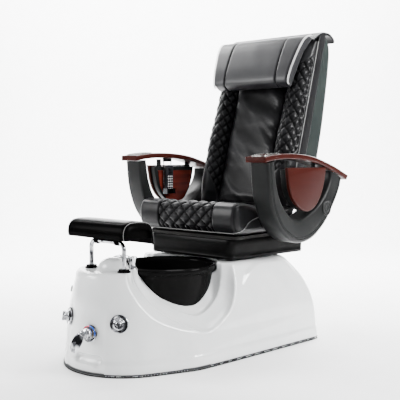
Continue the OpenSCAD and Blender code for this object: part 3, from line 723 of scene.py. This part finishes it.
def make_fittings():
    """What stands on the tower: the posts' collars, the filler spout and the sprayer."""
    collar = [(0.0091, 0), (COLLAR_R, 0), (COLLAR_R, 0.0045), (0.0225, 0.006), (0.0215, 0.0125),
              (0.0195, 0.014), (0.0091, 0.014)]
    collars = [turned(collar, Matrix.Translation((x, POST_Y, POST_LOW.z)), 0.0012)
               for x in (POST_LOW.x + COLLAR_R, POST_X)]
    piece("collars", join(*collars), "base", "footrest_black", "post_collars")

    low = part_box("filler_spout")[0]
    x, y, z = low.x + 0.0243, low.y + 0.017, low.z
    base = turned([(0, 0.005), (0.0165, 0.005), (0.017, 0), (0, 0)], Matrix.Translation((x, y, z)))
    bend = curve([(x, y, z + 0.003), (x, y, z + 0.02), (x + 0.002, y + 0.012, z + 0.035),
                  (x + 0.01, y + 0.045, z + 0.037), (x + 0.023, y + 0.088, z + 0.024)], 8)
    spout = join(base, tube(bend, 0.0095, sides=24))
    piece("spout", spout, "base", "chrome_parts", "filler_spout")

    head = turned([(0, 0), (0.0122, 0), (0.0122, 0.018), (0.0135, 0.024), (0.0182, 0.041),
                   (0.019, 0.046), (0.0175, 0.049), (0.014, 0.0482), (0.013, 0.0465),
                   (0, 0.0465)], foot_of("sprayer"), 0.0015)
    piece("sprayer_head", head, "sprayer", "chrome_parts", "sprayer")
    cup = turned([(0, 0.004), (0.0131, 0.004), (0.0131, 0.018), (0.015, 0.018), (0.0155, 0.005),
                  (0.017, 0.004), (0.017, 0), (0, 0)], foot_of("sprayer_cradle"))
    piece("sprayer_cup", cup, "base", "chrome_parts", "sprayer_cradle")


# ---------- footrest ----------

FOOTREST_Y = -0.336     # the footrest's middle


def make_lift_frame():
    low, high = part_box("lift_frame")
    r, bend = 0.009, 0.03
    x, y, top = high.x - r, (low.y + high.y) / 2, high.z - r
    half = [(px, y, pz) for px, pz in arc(x - bend, top - bend, bend, 90, 0, 10)]
    half += [(x, y, z) for z in np.linspace(top - bend - 0.01, low.z, 6)]
    path = [(-px, py, pz) for px, py, pz in reversed(half)] + half
    piece("lift_tube", tube(path, r - 0.0001, sides=28), "lift_frame", "chrome_parts", "lift_frame")


def make_footrest():
    low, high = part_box("footrest_shell")
    top = curve([(-0.415, 0.527), (-0.419, 0.545), (-0.414, 0.572), (-0.398, 0.59),
                 (-0.37, 0.5975), (-0.31, 0.596), (-0.278, 0.588), (-0.261, 0.572),
                 (-0.254, 0.548), (-0.25, 0.52), (-0.248, 0.502)], 5)
    under = [((y - FOOTREST_Y) * 0.955 + FOOTREST_Y, z - 0.005 * step_up(z, 0.53, 0.57))
             for y, z in top]
    section = list(top) + under[::-1]
    # the section draws in at the ends, most at its top edges
    rings = []
    for x, d in ((0, 0.026), (0.0015, 0.018), (0.005, 0.01), (0.011, 0.0035), (0.018, 0.0005),
                 (0.03, 0), (0.1, 0)):
        ring = []
        for y, z in section:
            share = np.clip((y - FOOTREST_Y) / 0.083, -1, 1)
            ring.append((low.x + x, y - d * 0.7 * share, z - d * max((z - 0.545) / 0.05, 0)))
        rings.append(ring)
    skin = loft(rings + [[(-x, y, z) for x, y, z in ring] for ring in reversed(rings)])
    wall = [((y - FOOTREST_Y) * 0.93 + FOOTREST_Y, max(z - 0.006, 0.5275)) for y, z in top]
    ends = [loft([[(x + w, y, z) for y, z in wall] for w in (-0.003, 0.0)])
            for x in (0.0125 - high.x, high.x - 0.0125)]
    pivot, r = -0.35, 0.014
    outline = arc(pivot, 0.51, r, -180, 0, 16) + [(pivot + r, 0.592), (pivot - r, 0.592)]
    blocks = [slab(outline, x - 0.009, x + 0.009, 0.001, 2) for x in (-0.06, 0.06)]
    shape = join(skin, *ends, *blocks)
    piece("footrest_cover", shape, "footrest", "footrest_black", "footrest_shell")
    piping = [tube([(side * x, y, z + 0.0004) for x, y, z in rings[3][:len(top)]], 0.0013)
              for side in (1, -1)]
    piece("footrest_piping", join(*piping), "footrest", "piping_grey")


# ---------- padded pieces ----------

def inflate(grid, pinned, pressure, limit):
    """Runs Blender's cloth with air inside on a closed grid of points."""
    rows, size = grid.shape[:2]
    verts = grid.reshape(-1, 3)
    faces = loft([[0] * size] * rows)[1][:-2]
    pad = new_object("pad", new_mesh("pad", verts, faces))
    group = pad.vertex_groups.new(name="pin")
    for index in np.flatnonzero(pinned.ravel()):
        group.add([int(index)], 1.0, "REPLACE")
    cloth = pad.modifiers.new("Cloth", "CLOTH")
    settings = cloth.settings
    settings.quality = 4
    settings.mass = 0.3
    settings.tension_stiffness = settings.compression_stiffness = 25
    settings.shear_stiffness = 12
    settings.bending_stiffness = 0.8
    settings.use_pressure = True
    settings.uniform_pressure_force = pressure
    settings.shrink_min = 0
    settings.vertex_group_mass = "pin"
    settings.effector_weights.gravity = 0
    cloth.collision_settings.use_collision = False
    cloth.point_cache.frame_start, cloth.point_cache.frame_end = 1, 24
    for number in range(1, 21):
        bpy.context.scene.frame_set(number)
    shaped = pad.evaluated_get(bpy.context.evaluated_depsgraph_get()).to_mesh()
    moved = np.empty(len(verts) * 3)
    shaped.vertices.foreach_get("co", moved)
    bpy.context.scene.frame_set(1)
    bpy.data.objects.remove(pad)
    shift = moved.reshape(-1, 3) - verts
    far = np.linalg.norm(shift, axis=1)[:, None]
    shift *= np.minimum(1, limit / np.maximum(far, 1e-9))
    return (verts + shift).reshape(grid.shape)


def midpoints(a, b, c, d):
    """Halfway from b to c on the cubic through all four."""
    return (-a + 9 * b + 9 * c - d) / 16


def refine(grid):
    """Twice as many points each way, by cubic interpolation; the columns wrap round."""
    padded = np.concatenate([2 * grid[:1] - grid[1:2], grid, 2 * grid[-1:] - grid[-2:-1]])
    rows = np.empty((2 * len(grid) - 1,) + grid.shape[1:])
    rows[0::2], rows[1::2] = grid, midpoints(padded[:-3], padded[1:-2], padded[2:-1], padded[3:])
    out = np.empty((len(rows), 2 * rows.shape[1], 3))
    out[:, 0::2] = rows
    out[:, 1::2] = midpoints(*(np.roll(rows, shift, 1) for shift in (1, 0, -1, -2)))
    return out


def grid_normals(grid):
    """Outward normals of a grid whose columns wrap round."""
    round_it = (np.roll(grid, -1, 1) - np.roll(grid, 1, 1)) / 2
    normal = np.cross(round_it, np.gradient(grid, axis=0))
    normal /= np.linalg.norm(normal, axis=2)[:, :, None] + 1e-12
    middle = grid.reshape(-1, 3).mean(0)
    return normal if np.sum(normal * (grid - middle)) >= 0 else -normal


def quilt(a, b, wide, tall, depth):
    """Depth of a diamond-stitched skin: 0 between stitches, down to -depth on them."""
    p, q = a / wide + b / tall, a / wide - b / tall
    near = np.minimum(np.abs((p + 0.5) % 1 - 0.5), np.abs((q + 0.5) % 1 - 0.5))
    return -depth * (1 - np.sin(np.clip(near * 2, 0, 1) * pi / 2) ** 0.7)


def crease(gap, width, depth):
    """A stitched seam: a groove where gap is 0."""
    return -depth * np.exp(-(gap / width) ** 2)


def folds(a, b, seed, size=0.12, angle=0.6):
    """Soft wrinkles running mostly one way."""
    rng = np.random.default_rng(seed)
    out = np.zeros(np.broadcast(a, b).shape)
    for _ in range(7):
        turn = angle + rng.normal(0, 0.35)
        wave = size * rng.uniform(0.5, 1.6)
        phase = rng.uniform(0, 2 * pi)
        bend = 0.03 * np.sin(b / (0.11 + 0.05 * rng.random()) + phase)
        run = (a * cos(turn) + b * sin(turn) + bend) / wave * 2 * pi + phase
        out += (np.maximum(np.sin(run), 0) ** 4) * rng.uniform(0.4, 1)
    return out / 7


def grid_piece(name, grid, height, body, *stands_for, fill):
    """A cushion from its grid, raised or sunk by height, with painted shade in its stitched grooves."""
    skin = grid + grid_normals(grid) * height[:, :, None]
    verts, faces = loft([list(row) for row in skin])
    # the groove attribute, strongest in the stitching, drives the leather's painted shade
    obj = piece(name, (verts, faces[:-2]), body, "black_leather", *stands_for, sharp=75,
                groove=np.clip(-height / 0.008, 0, 1))
    return obj


def capped(rings, steps):
    """Adds shrinking rings at both ends, so that the grid is closed."""
    rings = [np.array(r, float) for r in rings]

    def cap(ring):
        middle = ring.mean(0)
        return [middle + (ring - middle) * t for t in np.linspace(0, 1, steps + 1)[:-1]]
    return np.array(cap(rings[0]) + rings + cap(rings[-1])[::-1])


def make_seat():
    low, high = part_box("seat_cushion")
    half = high.x - 0.008
    profile = [(0.118, 0.53), (0.106, 0.56), (0.106, 0.603), (0.12, 0.638), (0.155, 0.653),
               (0.215, 0.647), (0.33, 0.624), (0.48, 0.612), (0.518, 0.602), (0.529, 0.57),
               (0.526, 0.51), (0.5, 0.504), (0.36, 0.504), (0.21, 0.504), (0.145, 0.508)]
    outline = smooth_loop(profile, 6, 148)
    rim = 0.028
    rings = []
    for x in np.r_[np.linspace(0, rim, 6)[:-1], np.linspace(rim, 2 * half - rim, 66),
                   np.linspace(2 * half - rim, 2 * half, 6)[1:]]:
        edge = min(x, 2 * half - x)
        d = rim * (1 - (1 - (1 - min(edge / rim, 1)) ** 2) ** 0.5)
        rings.append([(x - half, y, z) for y, z in inset(outline, d + 0.004)])
    grid = capped(rings, 7)
    grid = refine(inflate(grid, grid[:, :, 2] < 0.512, 5.0, 0.016))
    x = grid[:, :, 0]
    # how far round the front and top each point is
    line = even(curve(profile[:10], 12), 400)
    run = np.linspace(0, np.sum(np.linalg.norm(np.diff(line, axis=0), axis=1)), 400)
    nearest = ((grid[:, :, None, 1:] - line[None, None, ::4]) ** 2).sum(-1).argmin(-1) * 4
    along = run[nearest]
    face = np.linalg.norm(grid[:, :, 1:] - line[nearest], axis=2) < 0.03
    seam = 0.16
    quilted = (np.abs(x) < seam) & face
    height = np.where(quilted, quilt(x, along - 0.012, 0.064, 0.064, 0.008), 0)
    height += np.where(face, crease(np.abs(x) - seam, 0.0035, 0.006), 0)
    height += np.where(face, crease(np.abs(x) - (half - 0.012), 0.003, 0.0035), 0)
    height += 0.0012 * folds(x, grid[:, :, 1], 3, 0.2, 0.4)
    grid[:, :, 2] = np.maximum(grid[:, :, 2], low.z)
    grid_piece("seat_pad", grid, height, "seat", "seat_cushion", fill=0.85)
    # grey piping: under the front roll, then sweeping up along each side
    for name, side in (("right", -1), ("left", 1)):
        front = [(side * half * t, 0.11 + 0.004 * t * t, 0.5195 + 0.001 * t)
                 for t in np.linspace(0, 0.94, 16)]
        sweep = [(-0.004, 0.13, 0.523), (0.003, 0.165, 0.534), (0.004, 0.2, 0.562),
                 (0.004, 0.26, 0.58), (0.004, 0.36, 0.592), (0.002, 0.5, 0.6)]
        path = curve([(side * (half + out), y, z) for out, y, z in sweep])
        piece(f"seat_piping_{name}", tube([*front, *path], 0.0019), "seat", "piping_grey")


def make_skirt():
    low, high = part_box("seat_skirt")
    front, rear = 0.24, 0.302

    def ring(grow, z, wide):
        corners = [(-front * wide - grow, low.y - grow), (front * wide + grow, low.y - grow),
                   (rear * wide + grow, high.y + grow), (-rear * wide - grow, high.y + grow)]
        corners = [np.array(p) for p in corners]
        out = []
        for k in range(4):
            out += round_corner(corners[k - 1], corners[k], corners[(k + 1) % 4], 0.034, 8)
        return [(x, y, z) for x, y in out]
    lip = 0.0038
    wall = [(-lip, 0.4, 1), (0.003 - lip, 0.4, 1), (0, 0.4015, 1), (0, 0.409, 1),
            (0.001, 0.411, 1), (0, 0.414, 1), (0, 0.43, 1.004), (0, 0.46, 1.011),
            (0, 0.484, 1.018), (-0.0015, 0.4872, 1.018), (-0.004, 0.488, 1.018)]
    inner = [(-0.006, 0.486, 1.018), (-0.006, 0.46, 1.011), (-0.005, 0.41, 1)]
    shape = loft([ring(*row) for row in wall + inner], closed=True)
    piece("skirt", shape, "seat", "skirt_black", "seat_skirt")


# ---------- back ----------

BACK_UP = Vector(JOINTS["massage_travel"]["axis"]).normalized()
BACK_OUT = Vector((0, BACK_UP.z, -BACK_UP.y))
BACK_FOOT = Vector((0, 0.54, 0.64))
BACK_L = 0.8
BOLSTER_V = [(-0.02, -0.03), (0.06, -0.058), (0.17, -0.066), (0.29, -0.073), (0.42, -0.06),
             (0.56, -0.054), (0.7, -0.046), (0.79, -0.03)]
SHELL_V = [(0.03, 0.112), (0.052, 0.149), (0.11, 0.18), (0.2, 0.199), (0.4, 0.196),
           (0.6, 0.177), (0.72, 0.161), (0.8, 0.147), (0.845, 0.12), (0.858, 0.09)]


def from_back(x, v, u):
    """The point at x across, v behind the back's front plane and u up along it."""
    return (x, BACK_FOOT.y + v * BACK_OUT.y + u * BACK_UP.y,
            BACK_FOOT.z + v * BACK_OUT.z + u * BACK_UP.z)


def to_back(grid):
    """The x, v and u of each point of a grid."""
    local = grid - np.array(BACK_FOOT)
    return grid[:, :, 0], local @ np.array(BACK_OUT), local @ np.array(BACK_UP)


def make_bolsters():
    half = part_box("back_bolsters")[1].x
    inner = 0.1515
    line = curve(BOLSTER_V, 8)
    for name, side in (("right", -1), ("left", 1)):
        rings = []
        for u in np.linspace(-0.028, BACK_L - 0.004, 100):
            edge = min(u + 0.03, BACK_L - u) / 0.05
            crest = np.interp(u, line[:, 0], line[:, 1]) * min(1, max(edge, 0.05)) ** 0.4
            section = [(inner, 0.014), (inner, -0.004), (inner + 0.012, crest * 0.55),
                       (inner + 0.036, crest * 0.93), (inner + 0.062, crest),
                       (inner + 0.088, crest * 0.8), (half - 0.007, crest * 0.42),
                       (half - 0.001, crest * 0.08), (half - 0.001, 0.014), (half - 0.02, 0.0165),
                       (inner + 0.03, 0.0165)]
            rings.append([from_back(x, v, u) for x, v in smooth_loop(section, 5, 60)])
        grid = capped(rings, 5)
        x, v, u = to_back(grid)
        grid = refine(inflate(grid, (v > 0.005) | (x < inner + 0.004), 3.0, 0.008))
        x, v, u = to_back(grid)
        # distance round the section from the inner seam
        length = np.linalg.norm(np.diff(grid, axis=1, append=grid[:, :1]), axis=2)
        girth = np.cumsum(length, axis=1)
        start = np.argmin(np.hypot(x - inner, v + 0.004), axis=1)
        girth = girth - np.take_along_axis(girth, start[:, None], 1)
        girth = np.where(girth < -0.02, 1.0, girth)
        # the quilted field runs to a point at the foot of the seam
        taper = (u - 0.02) * 0.85
        top = 0.58 + 0.9 * girth
        field = (v < 0.004) & (girth < taper) & (u < top)
        height = np.where(field, quilt(girth - 0.004, u - 0.01, 0.05, 0.056, 0.007), 0)
        for gap in ((girth - taper) * 0.76, (u - top) * 0.74):
            height += np.where(v < 0.004, crease(gap, 0.003, 0.003), 0)
        grid = grid * np.array((side, 1, 1))
        grid_piece(f"{name}_bolster", grid, height, "back", "back_bolsters", fill=0.9)
        edge = [from_back(side * (half + 0.001), 0.0165, u) for u in np.linspace(-0.02, BACK_L, 60)]
        piece(f"{name}_back_piping", tube(edge, 0.0026), "back", "piping_grey")


def make_back_pad():
    half = 0.1485
    rings = []
    for u in np.linspace(-0.02, BACK_L - 0.012, 90):
        edge = min(u + 0.03, BACK_L - u) / 0.04
        crest = -0.024 - 0.008 * sin(pi * min(max(u / 0.7, 0), 1))
        crest *= min(1, max(edge, 0.1)) ** 0.5
        section = [(-half, 0.01), (-half, -0.003), (-half * 0.86, crest * 0.78),
                   (-half * 0.5, crest * 0.96), (0, crest), (half * 0.5, crest * 0.96),
                   (half * 0.86, crest * 0.78), (half, -0.003), (half, 0.01), (0, 0.0115)]
        rings.append([from_back(x, v, u) for x, v in smooth_loop(section, 6, 84)])
    grid = capped(rings, 5)
    grid = refine(inflate(grid, to_back(grid)[1] > -0.004, 3.0, 0.01))
    x, v, u = to_back(grid)
    front = step_up(-v, 0.002, 0.012)
    height = 0.022 * (folds(x, u, 11, 0.24, 1.05) - 0.2) * front
    height += 0.004 * folds(x, u, 5, 0.07, 1.1) * front * step_up(np.abs(x), 0.05, 0.14)
    grid_piece("lumbar_pad", grid, height, "back", "back_pad", fill=0.5)


def pillow_reach(u):
    """Half the pillow's width at height u: its ends slant outwards to the top."""
    return 0.226 + 0.15 * (u - 0.56)


def make_pillow():
    section = [(-0.07, 0.556), (-0.11, 0.558), (-0.129, 0.577), (-0.132, 0.63), (-0.125, 0.69),
               (-0.113, 0.75), (-0.094, 0.792), (-0.058, 0.816), (-0.022, 0.812), (-0.044, 0.765),
               (-0.058, 0.7), (-0.064, 0.62)]
    # hung a little lower than it was drawn, and a little taller
    outline = smooth_loop([(v, 0.804 - 1.03 * (0.816 - u)) for v, u in section], 6, 84)
    half = pillow_reach(0.7)
    round_off = 0.012
    rings = []
    for t in np.linspace(-1, 1, 66):
        d = round_off * (1 - min(1, (1 - abs(t)) * half / round_off) ** 0.5)
        rings.append([from_back(t * pillow_reach(u), v, u) for v, u in inset(outline, d + 0.002)])
    grid = capped(rings, 6)
    heights = (0.57, 0.7, 0.8)
    x, v, u = to_back(grid)
    pinned = v > np.interp(u, heights, (-0.07, -0.064, -0.03))
    grid = refine(inflate(grid, pinned, 4.0, 0.012))
    x, v, u = to_back(grid)
    front = v < np.interp(u, heights, (-0.08, -0.07, -0.035))
    height = np.where(front, crease(np.abs(x) - 0.155, 0.0035, 0.006), 0)
    height += 0.003 * (folds(x, u, 21, 0.3, 0.2) - 0.2) * front
    pillow = grid_piece("pillow", grid, height, "back", "head_pillow", fill=0.85)
    # the pillow takes the brighter copy of the leather, as painted light
    pillow.data.materials[0] = MATERIALS["pillow_leather_painted_lit"]
    # double piping round each slanted end
    piping = [tube([from_back(side * (pillow_reach(u) + 0.0005), v + back, u)
                    for v, u in outline[6:46]], 0.0017)
              for side in (-1, 1) for back in (0.006, 0.013)]
    piece("pillow_piping", join(*piping), "back", "piping_white")


def make_back_shell():
    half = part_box("back_shell")[1].x
    skin = curve([(v, u) for u, v in SHELL_V])
    front = [(0.03, 0.845), (0.0205, 0.82), (0.0205, 0.4), (0.0205, 0.0), (0.0205, -0.035),
             (0.06, -0.003)]
    outline = even([*skin, *front], 170, closed=True)
    rim = 0.034
    ladder = [(half - rim + rim * sin(a), rim * (1 - cos(a))) for a in np.linspace(0, pi / 2, 9)]
    rings = []
    for x, d in [(-x, d) for x, d in reversed(ladder)] + ladder:
        ring = []
        for v, u in outline:
            # only the rear face is rounded off: the front edge keeps its full size
            weight = min(max((v - 0.03) / 0.06, 0), 1)
            up = (step_up(u, 0.7, 0.82) - 1 + step_up(u, 0.0, 0.1)) * weight
            ring.append(from_back(x, v - d * 0.9 * weight, u - d * 0.7 * up))
        rings.append(ring)
    piece("back_cover", loft(rings), "back", "back_cover", "back_shell")

    # leather boxing between the bolsters' piping and the cover
    band = curve([(0.0165, -0.03), (0.0165, 0.3), (0.0165, 0.6), (0.0165, 0.82), (0.045, 0.846),
                  (0.072, 0.84), (0.07, 0.74), (0.076, 0.55), (0.08, 0.3), (0.076, 0.12),
                  (0.06, 0.02)], 8)
    band = even(band, 130, closed=True)
    layers = ((-0.02, 0), (-0.002, 0), (0.001, 0.001), (0.0025, 0.003), (0.003, 0.006))
    sides = [loft([[from_back(side * (half + out), v, u) for v, u in inset(band, d)]
                   for out, d in layers]) for side in (-1, 1)]
    boxing = piece("back_boxing", join(*sides), "back", "black_leather")

    # the leather's top edge folds over the cover and stands out behind it
    over = curve([(-0.034, 0.792), (0.0, 0.827), (0.033, 0.856), (0.0855, 0.873), (0.12, 0.872),
                  (0.1453, 0.862), (0.15, 0.85)])
    under = curve([(-0.03, 0.786), (0.0, 0.818), (0.035, 0.845), (0.0855, 0.862), (0.12, 0.862),
                   (0.1453, 0.852), (0.147, 0.85)]) - (0, 0.006)
    loop = even([*over, *under[::-1]], 90, closed=True)
    shape = loft([[from_back(x, v, u) for v, u in inset(loop, d)]
                  for x, d in ((-half - 0.004, 0.002), (-half + 0.001, 0), (half - 0.001, 0),
                               (half + 0.004, 0.002))])
    piece("top_flap", shape, "back", "black_leather")


def make_apron():
    """The strip of leather that closes the gap between the seat and the back."""
    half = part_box("back_shell")[1].x + 0.027
    line = curve([(0.024, 0.05), (0.022, 0.0), (0.014, -0.05), (0.01, -0.085)])
    loop = [*line, *(line[::-1] + (0.004, 0))]
    shape = loft([[from_back(x, v, u + 0.002 * sin(60 * x)) for v, u in loop]
                  for x in np.linspace(-half, half, 41)])
    piece("waist_apron", shape, "back", "black_leather")


# ---------- arms ----------

ARM_OUTER = [(0.158, 0.822), (0.173, 0.7), (0.213, 0.592), (0.283, 0.512), (0.385, 0.468),
             (0.5, 0.478), (0.608, 0.54), (0.69, 0.63), (0.737, 0.7), (0.75, 0.74)]
ARM_INNER = [(0.206, 0.834), (0.225, 0.73), (0.262, 0.65), (0.33, 0.588), (0.4, 0.568),
             (0.48, 0.592), (0.56, 0.632), (0.622, 0.69), (0.652, 0.745), (0.655, 0.792)]
BOARD_TOP = curve([(0.133, 0.848), (0.21, 0.857), (0.316, 0.861), (0.43, 0.855), (0.533, 0.84),
                   (0.68, 0.8), (0.806, 0.755)], 8)
BOARD_BOTTOM = [(0.79, 0.733), (0.66, 0.782), (0.533, 0.817), (0.43, 0.831), (0.316, 0.837),
                (0.21, 0.833), (0.133, 0.824)]
SHIELD = [(0.3, 0.8), (0.325, 0.698), (0.38, 0.632), (0.459, 0.602), (0.53, 0.625), (0.58, 0.686),
          (0.602, 0.745), (0.612, 0.797)]
BOARD_GAP = 0.0055


def band_section(width, length, r=0.012):
    """The arm band's box section, (out, in), with two grooves near its outer edge."""
    section = []
    for x, w, start in ((width - r, r, -90), (width - r, length - r, 0), (r, length - r, 90),
                        (r, r, 180)):
        section += arc(x, w, r, start, start + 90, 6)
        if start == -90:
            for w in (0.016, 0.024):
                section += [(width, w), (width - 0.0022, w + 0.001),
                            (width - 0.0022, w + 0.0024), (width, w + 0.0034)]
    return section


def make_arm(name):
    side = 1 if name == "left" else -1
    low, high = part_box(f"{name}_arm_shell")
    x_in, x_out = (low.x, high.x) if side > 0 else (-high.x, -low.x)

    def put(label, shape, slot, *stands_for, sharp=35):
        verts, faces = shape
        verts = [(side * x, y, z) for x, y, z in verts]
        return piece(f"{name}_{label}", (verts, faces), f"{name}_arm", slot, *stands_for,
                     sharp=sharp)

    # the band: a rounded box section swept between its two edges
    outer, inner = (even(curve(line, 10), 90) for line in (ARM_OUTER, ARM_INNER))
    under = curve(BOARD_BOTTOM[::-1], 10)
    rings = []
    for p, q in zip(outer, inner):
        length = np.linalg.norm(q - p)
        ring = []
        for dx, w in band_section(x_out - x_in, length):
            y, z = p + (q - p) / length * w
            ring.append((x_in + dx, y, min(z, np.interp(y, *under.T) - BOARD_GAP)))
        rings.append(ring)
    put("arm_band", loft(rings), "arm_satin", f"{name}_arm_shell", sharp=40)

    edge = even([*BOARD_TOP, *curve(BOARD_BOTTOM, 8)], 170, closed=True)
    board = slab(edge, x_in - 0.004, x_out + 0.004, 0.006, 5)
    put("arm_rest", board, "mahogany", f"{name}_arm_board")

    # shield panel with its liner and struts, and the wood on its inside
    face = even(curve(SHIELD, 8), 110, closed=True)
    panel = slab(face, x_out - 0.018, x_out, 0.005, 4)
    put("shield", panel, "mahogany", f"{name}_arm_panel")

    def smaller(across, up, z):
        return [((y - 0.455) * across + 0.455, (z0 - 0.72) * up + z) for y, z0 in face]
    liner = [slab(smaller(0.93, 0.95, 0.716), x_out - 0.0495, x_out - 0.0185, 0.004, 3)]
    for y, top_front, top_rear in ((0.34, 0.829, 0.829), (0.548, 0.817, 0.812)):
        strut = [(y, 0.78), (y + 0.022, 0.78), (y + 0.022, top_rear), (y, top_front)]
        liner.append(slab(strut, x_out - 0.044, x_out - 0.032, 0.001, 2))
    put("shield_liner", join(*liner), "arm_satin")
    # the inlay takes the brighter copy of the mahogany, as painted light
    inlay = slab(smaller(0.8, 0.84, 0.706), x_out - 0.053, x_out - 0.048, 0.002, 3)
    put("inlay", inlay, "mahogany").data.materials[0] = MATERIALS["mahogany_painted_lit"]

    # the metal tray, sunk into the board: a squared oval
    low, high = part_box(f"{name}_arm_tray")
    x_mid, y_mid = (low.x + high.x) / 2 * side, (low.y + high.y) / 2
    half_x, half_y = (high.x - low.x) / 2, (high.y - low.y) / 2
    oval = [[np.sign(t) * abs(t) ** 0.4 for t in (cos(a), sin(a))] for a in turns(72)]
    rings = []
    for grow, up in ((0, -0.004), (0, 0.0018), (-0.0008, 0.0034), (-0.0022, 0.004),
                     (-0.004, 0.0034), (-0.0055, 0.001), (-0.009, -0.0002), (-0.02, -0.0005)):
        spots = [(x_mid + (half_x + grow) * c, y_mid + (half_y + grow) * s) for c, s in oval]
        rings.append([(x, y, np.interp(y, *BOARD_TOP.T) + up) for x, y in spots])
    put("tray", loft(rings), "tray_silver", f"{name}_arm_tray")

    # round cap over the hinge, with a plain raised ring and a dimple
    _, y, z = JOINTS[f"{name}_arm_lift"]["pos_m"]
    place = Matrix.Translation((x_out, y, z)) @ Matrix.Rotation(pi / 2, 4, "Y")
    cap = turned([(0, 0.002), (0.008, 0.0024), (0.011, 0.0036), (0.017, 0.0036), (0.019, 0.0024),
                  (0.0265, 0.0024), (0.0285, 0.0042), (0.033, 0.0046), (0.0365, 0.003),
                  (0.037, -0.001), (0, -0.001)], place, 0.0012)
    put("cap", cap, "arm_satin", f"{name}_arm_cap")


def make_remote():
    low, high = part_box("remote_handset")
    r = 0.006
    outline = []
    for y, z, start in ((high.y - r, high.z - r, 0), (low.y + r, high.z - r, 90),
                        (low.y + r, low.z + r, 180), (high.y - r, low.z + r, 270)):
        outline += arc(y, z, r, start, start + 90, 5)
    handset = slab(outline, low.x, high.x - 0.0035, 0.003, 3)
    piece("handset", handset, "remote", "handset_black", "remote_handset")
    # small keys in three columns below the main button
    pitch = 0.0125
    key = [(0, 0.0022), (0.0028, 0.0022), (0.0036, 0.0014), (0.0038, 0), (0, 0)]
    keys = []
    for row, column in itertools.product(range(6), (-1, 0, 1)):
        spot = (high.x - 0.0036, (low.y + high.y) / 2 + column * pitch, low.z + 0.02 + row * pitch)
        keys.append(lathe(key, Matrix.Translation(spot) @ Matrix.Rotation(pi / 2, 4, "Y"), 16))
    piece("handset_keys", join(*keys), "remote", "piping_white")


# ---------- everything ----------

MATERIALS = make_materials()
set_stage()
for row in frame["record"]["subparts"]:
    node = frame["nodes"][row["node"]]
    node.data.materials.clear()
    node.data.materials.append(MATERIALS[row["material_slot"]])
make_tub()
make_trim()
make_bowl()
make_controls()
make_mixer()
make_fittings()
make_lift_frame()
make_footrest()
make_seat()
make_skirt()
make_bolsters()
make_back_pad()
make_pillow()
make_back_shell()
make_apron()
make_arm("left")
make_arm("right")
make_remote()
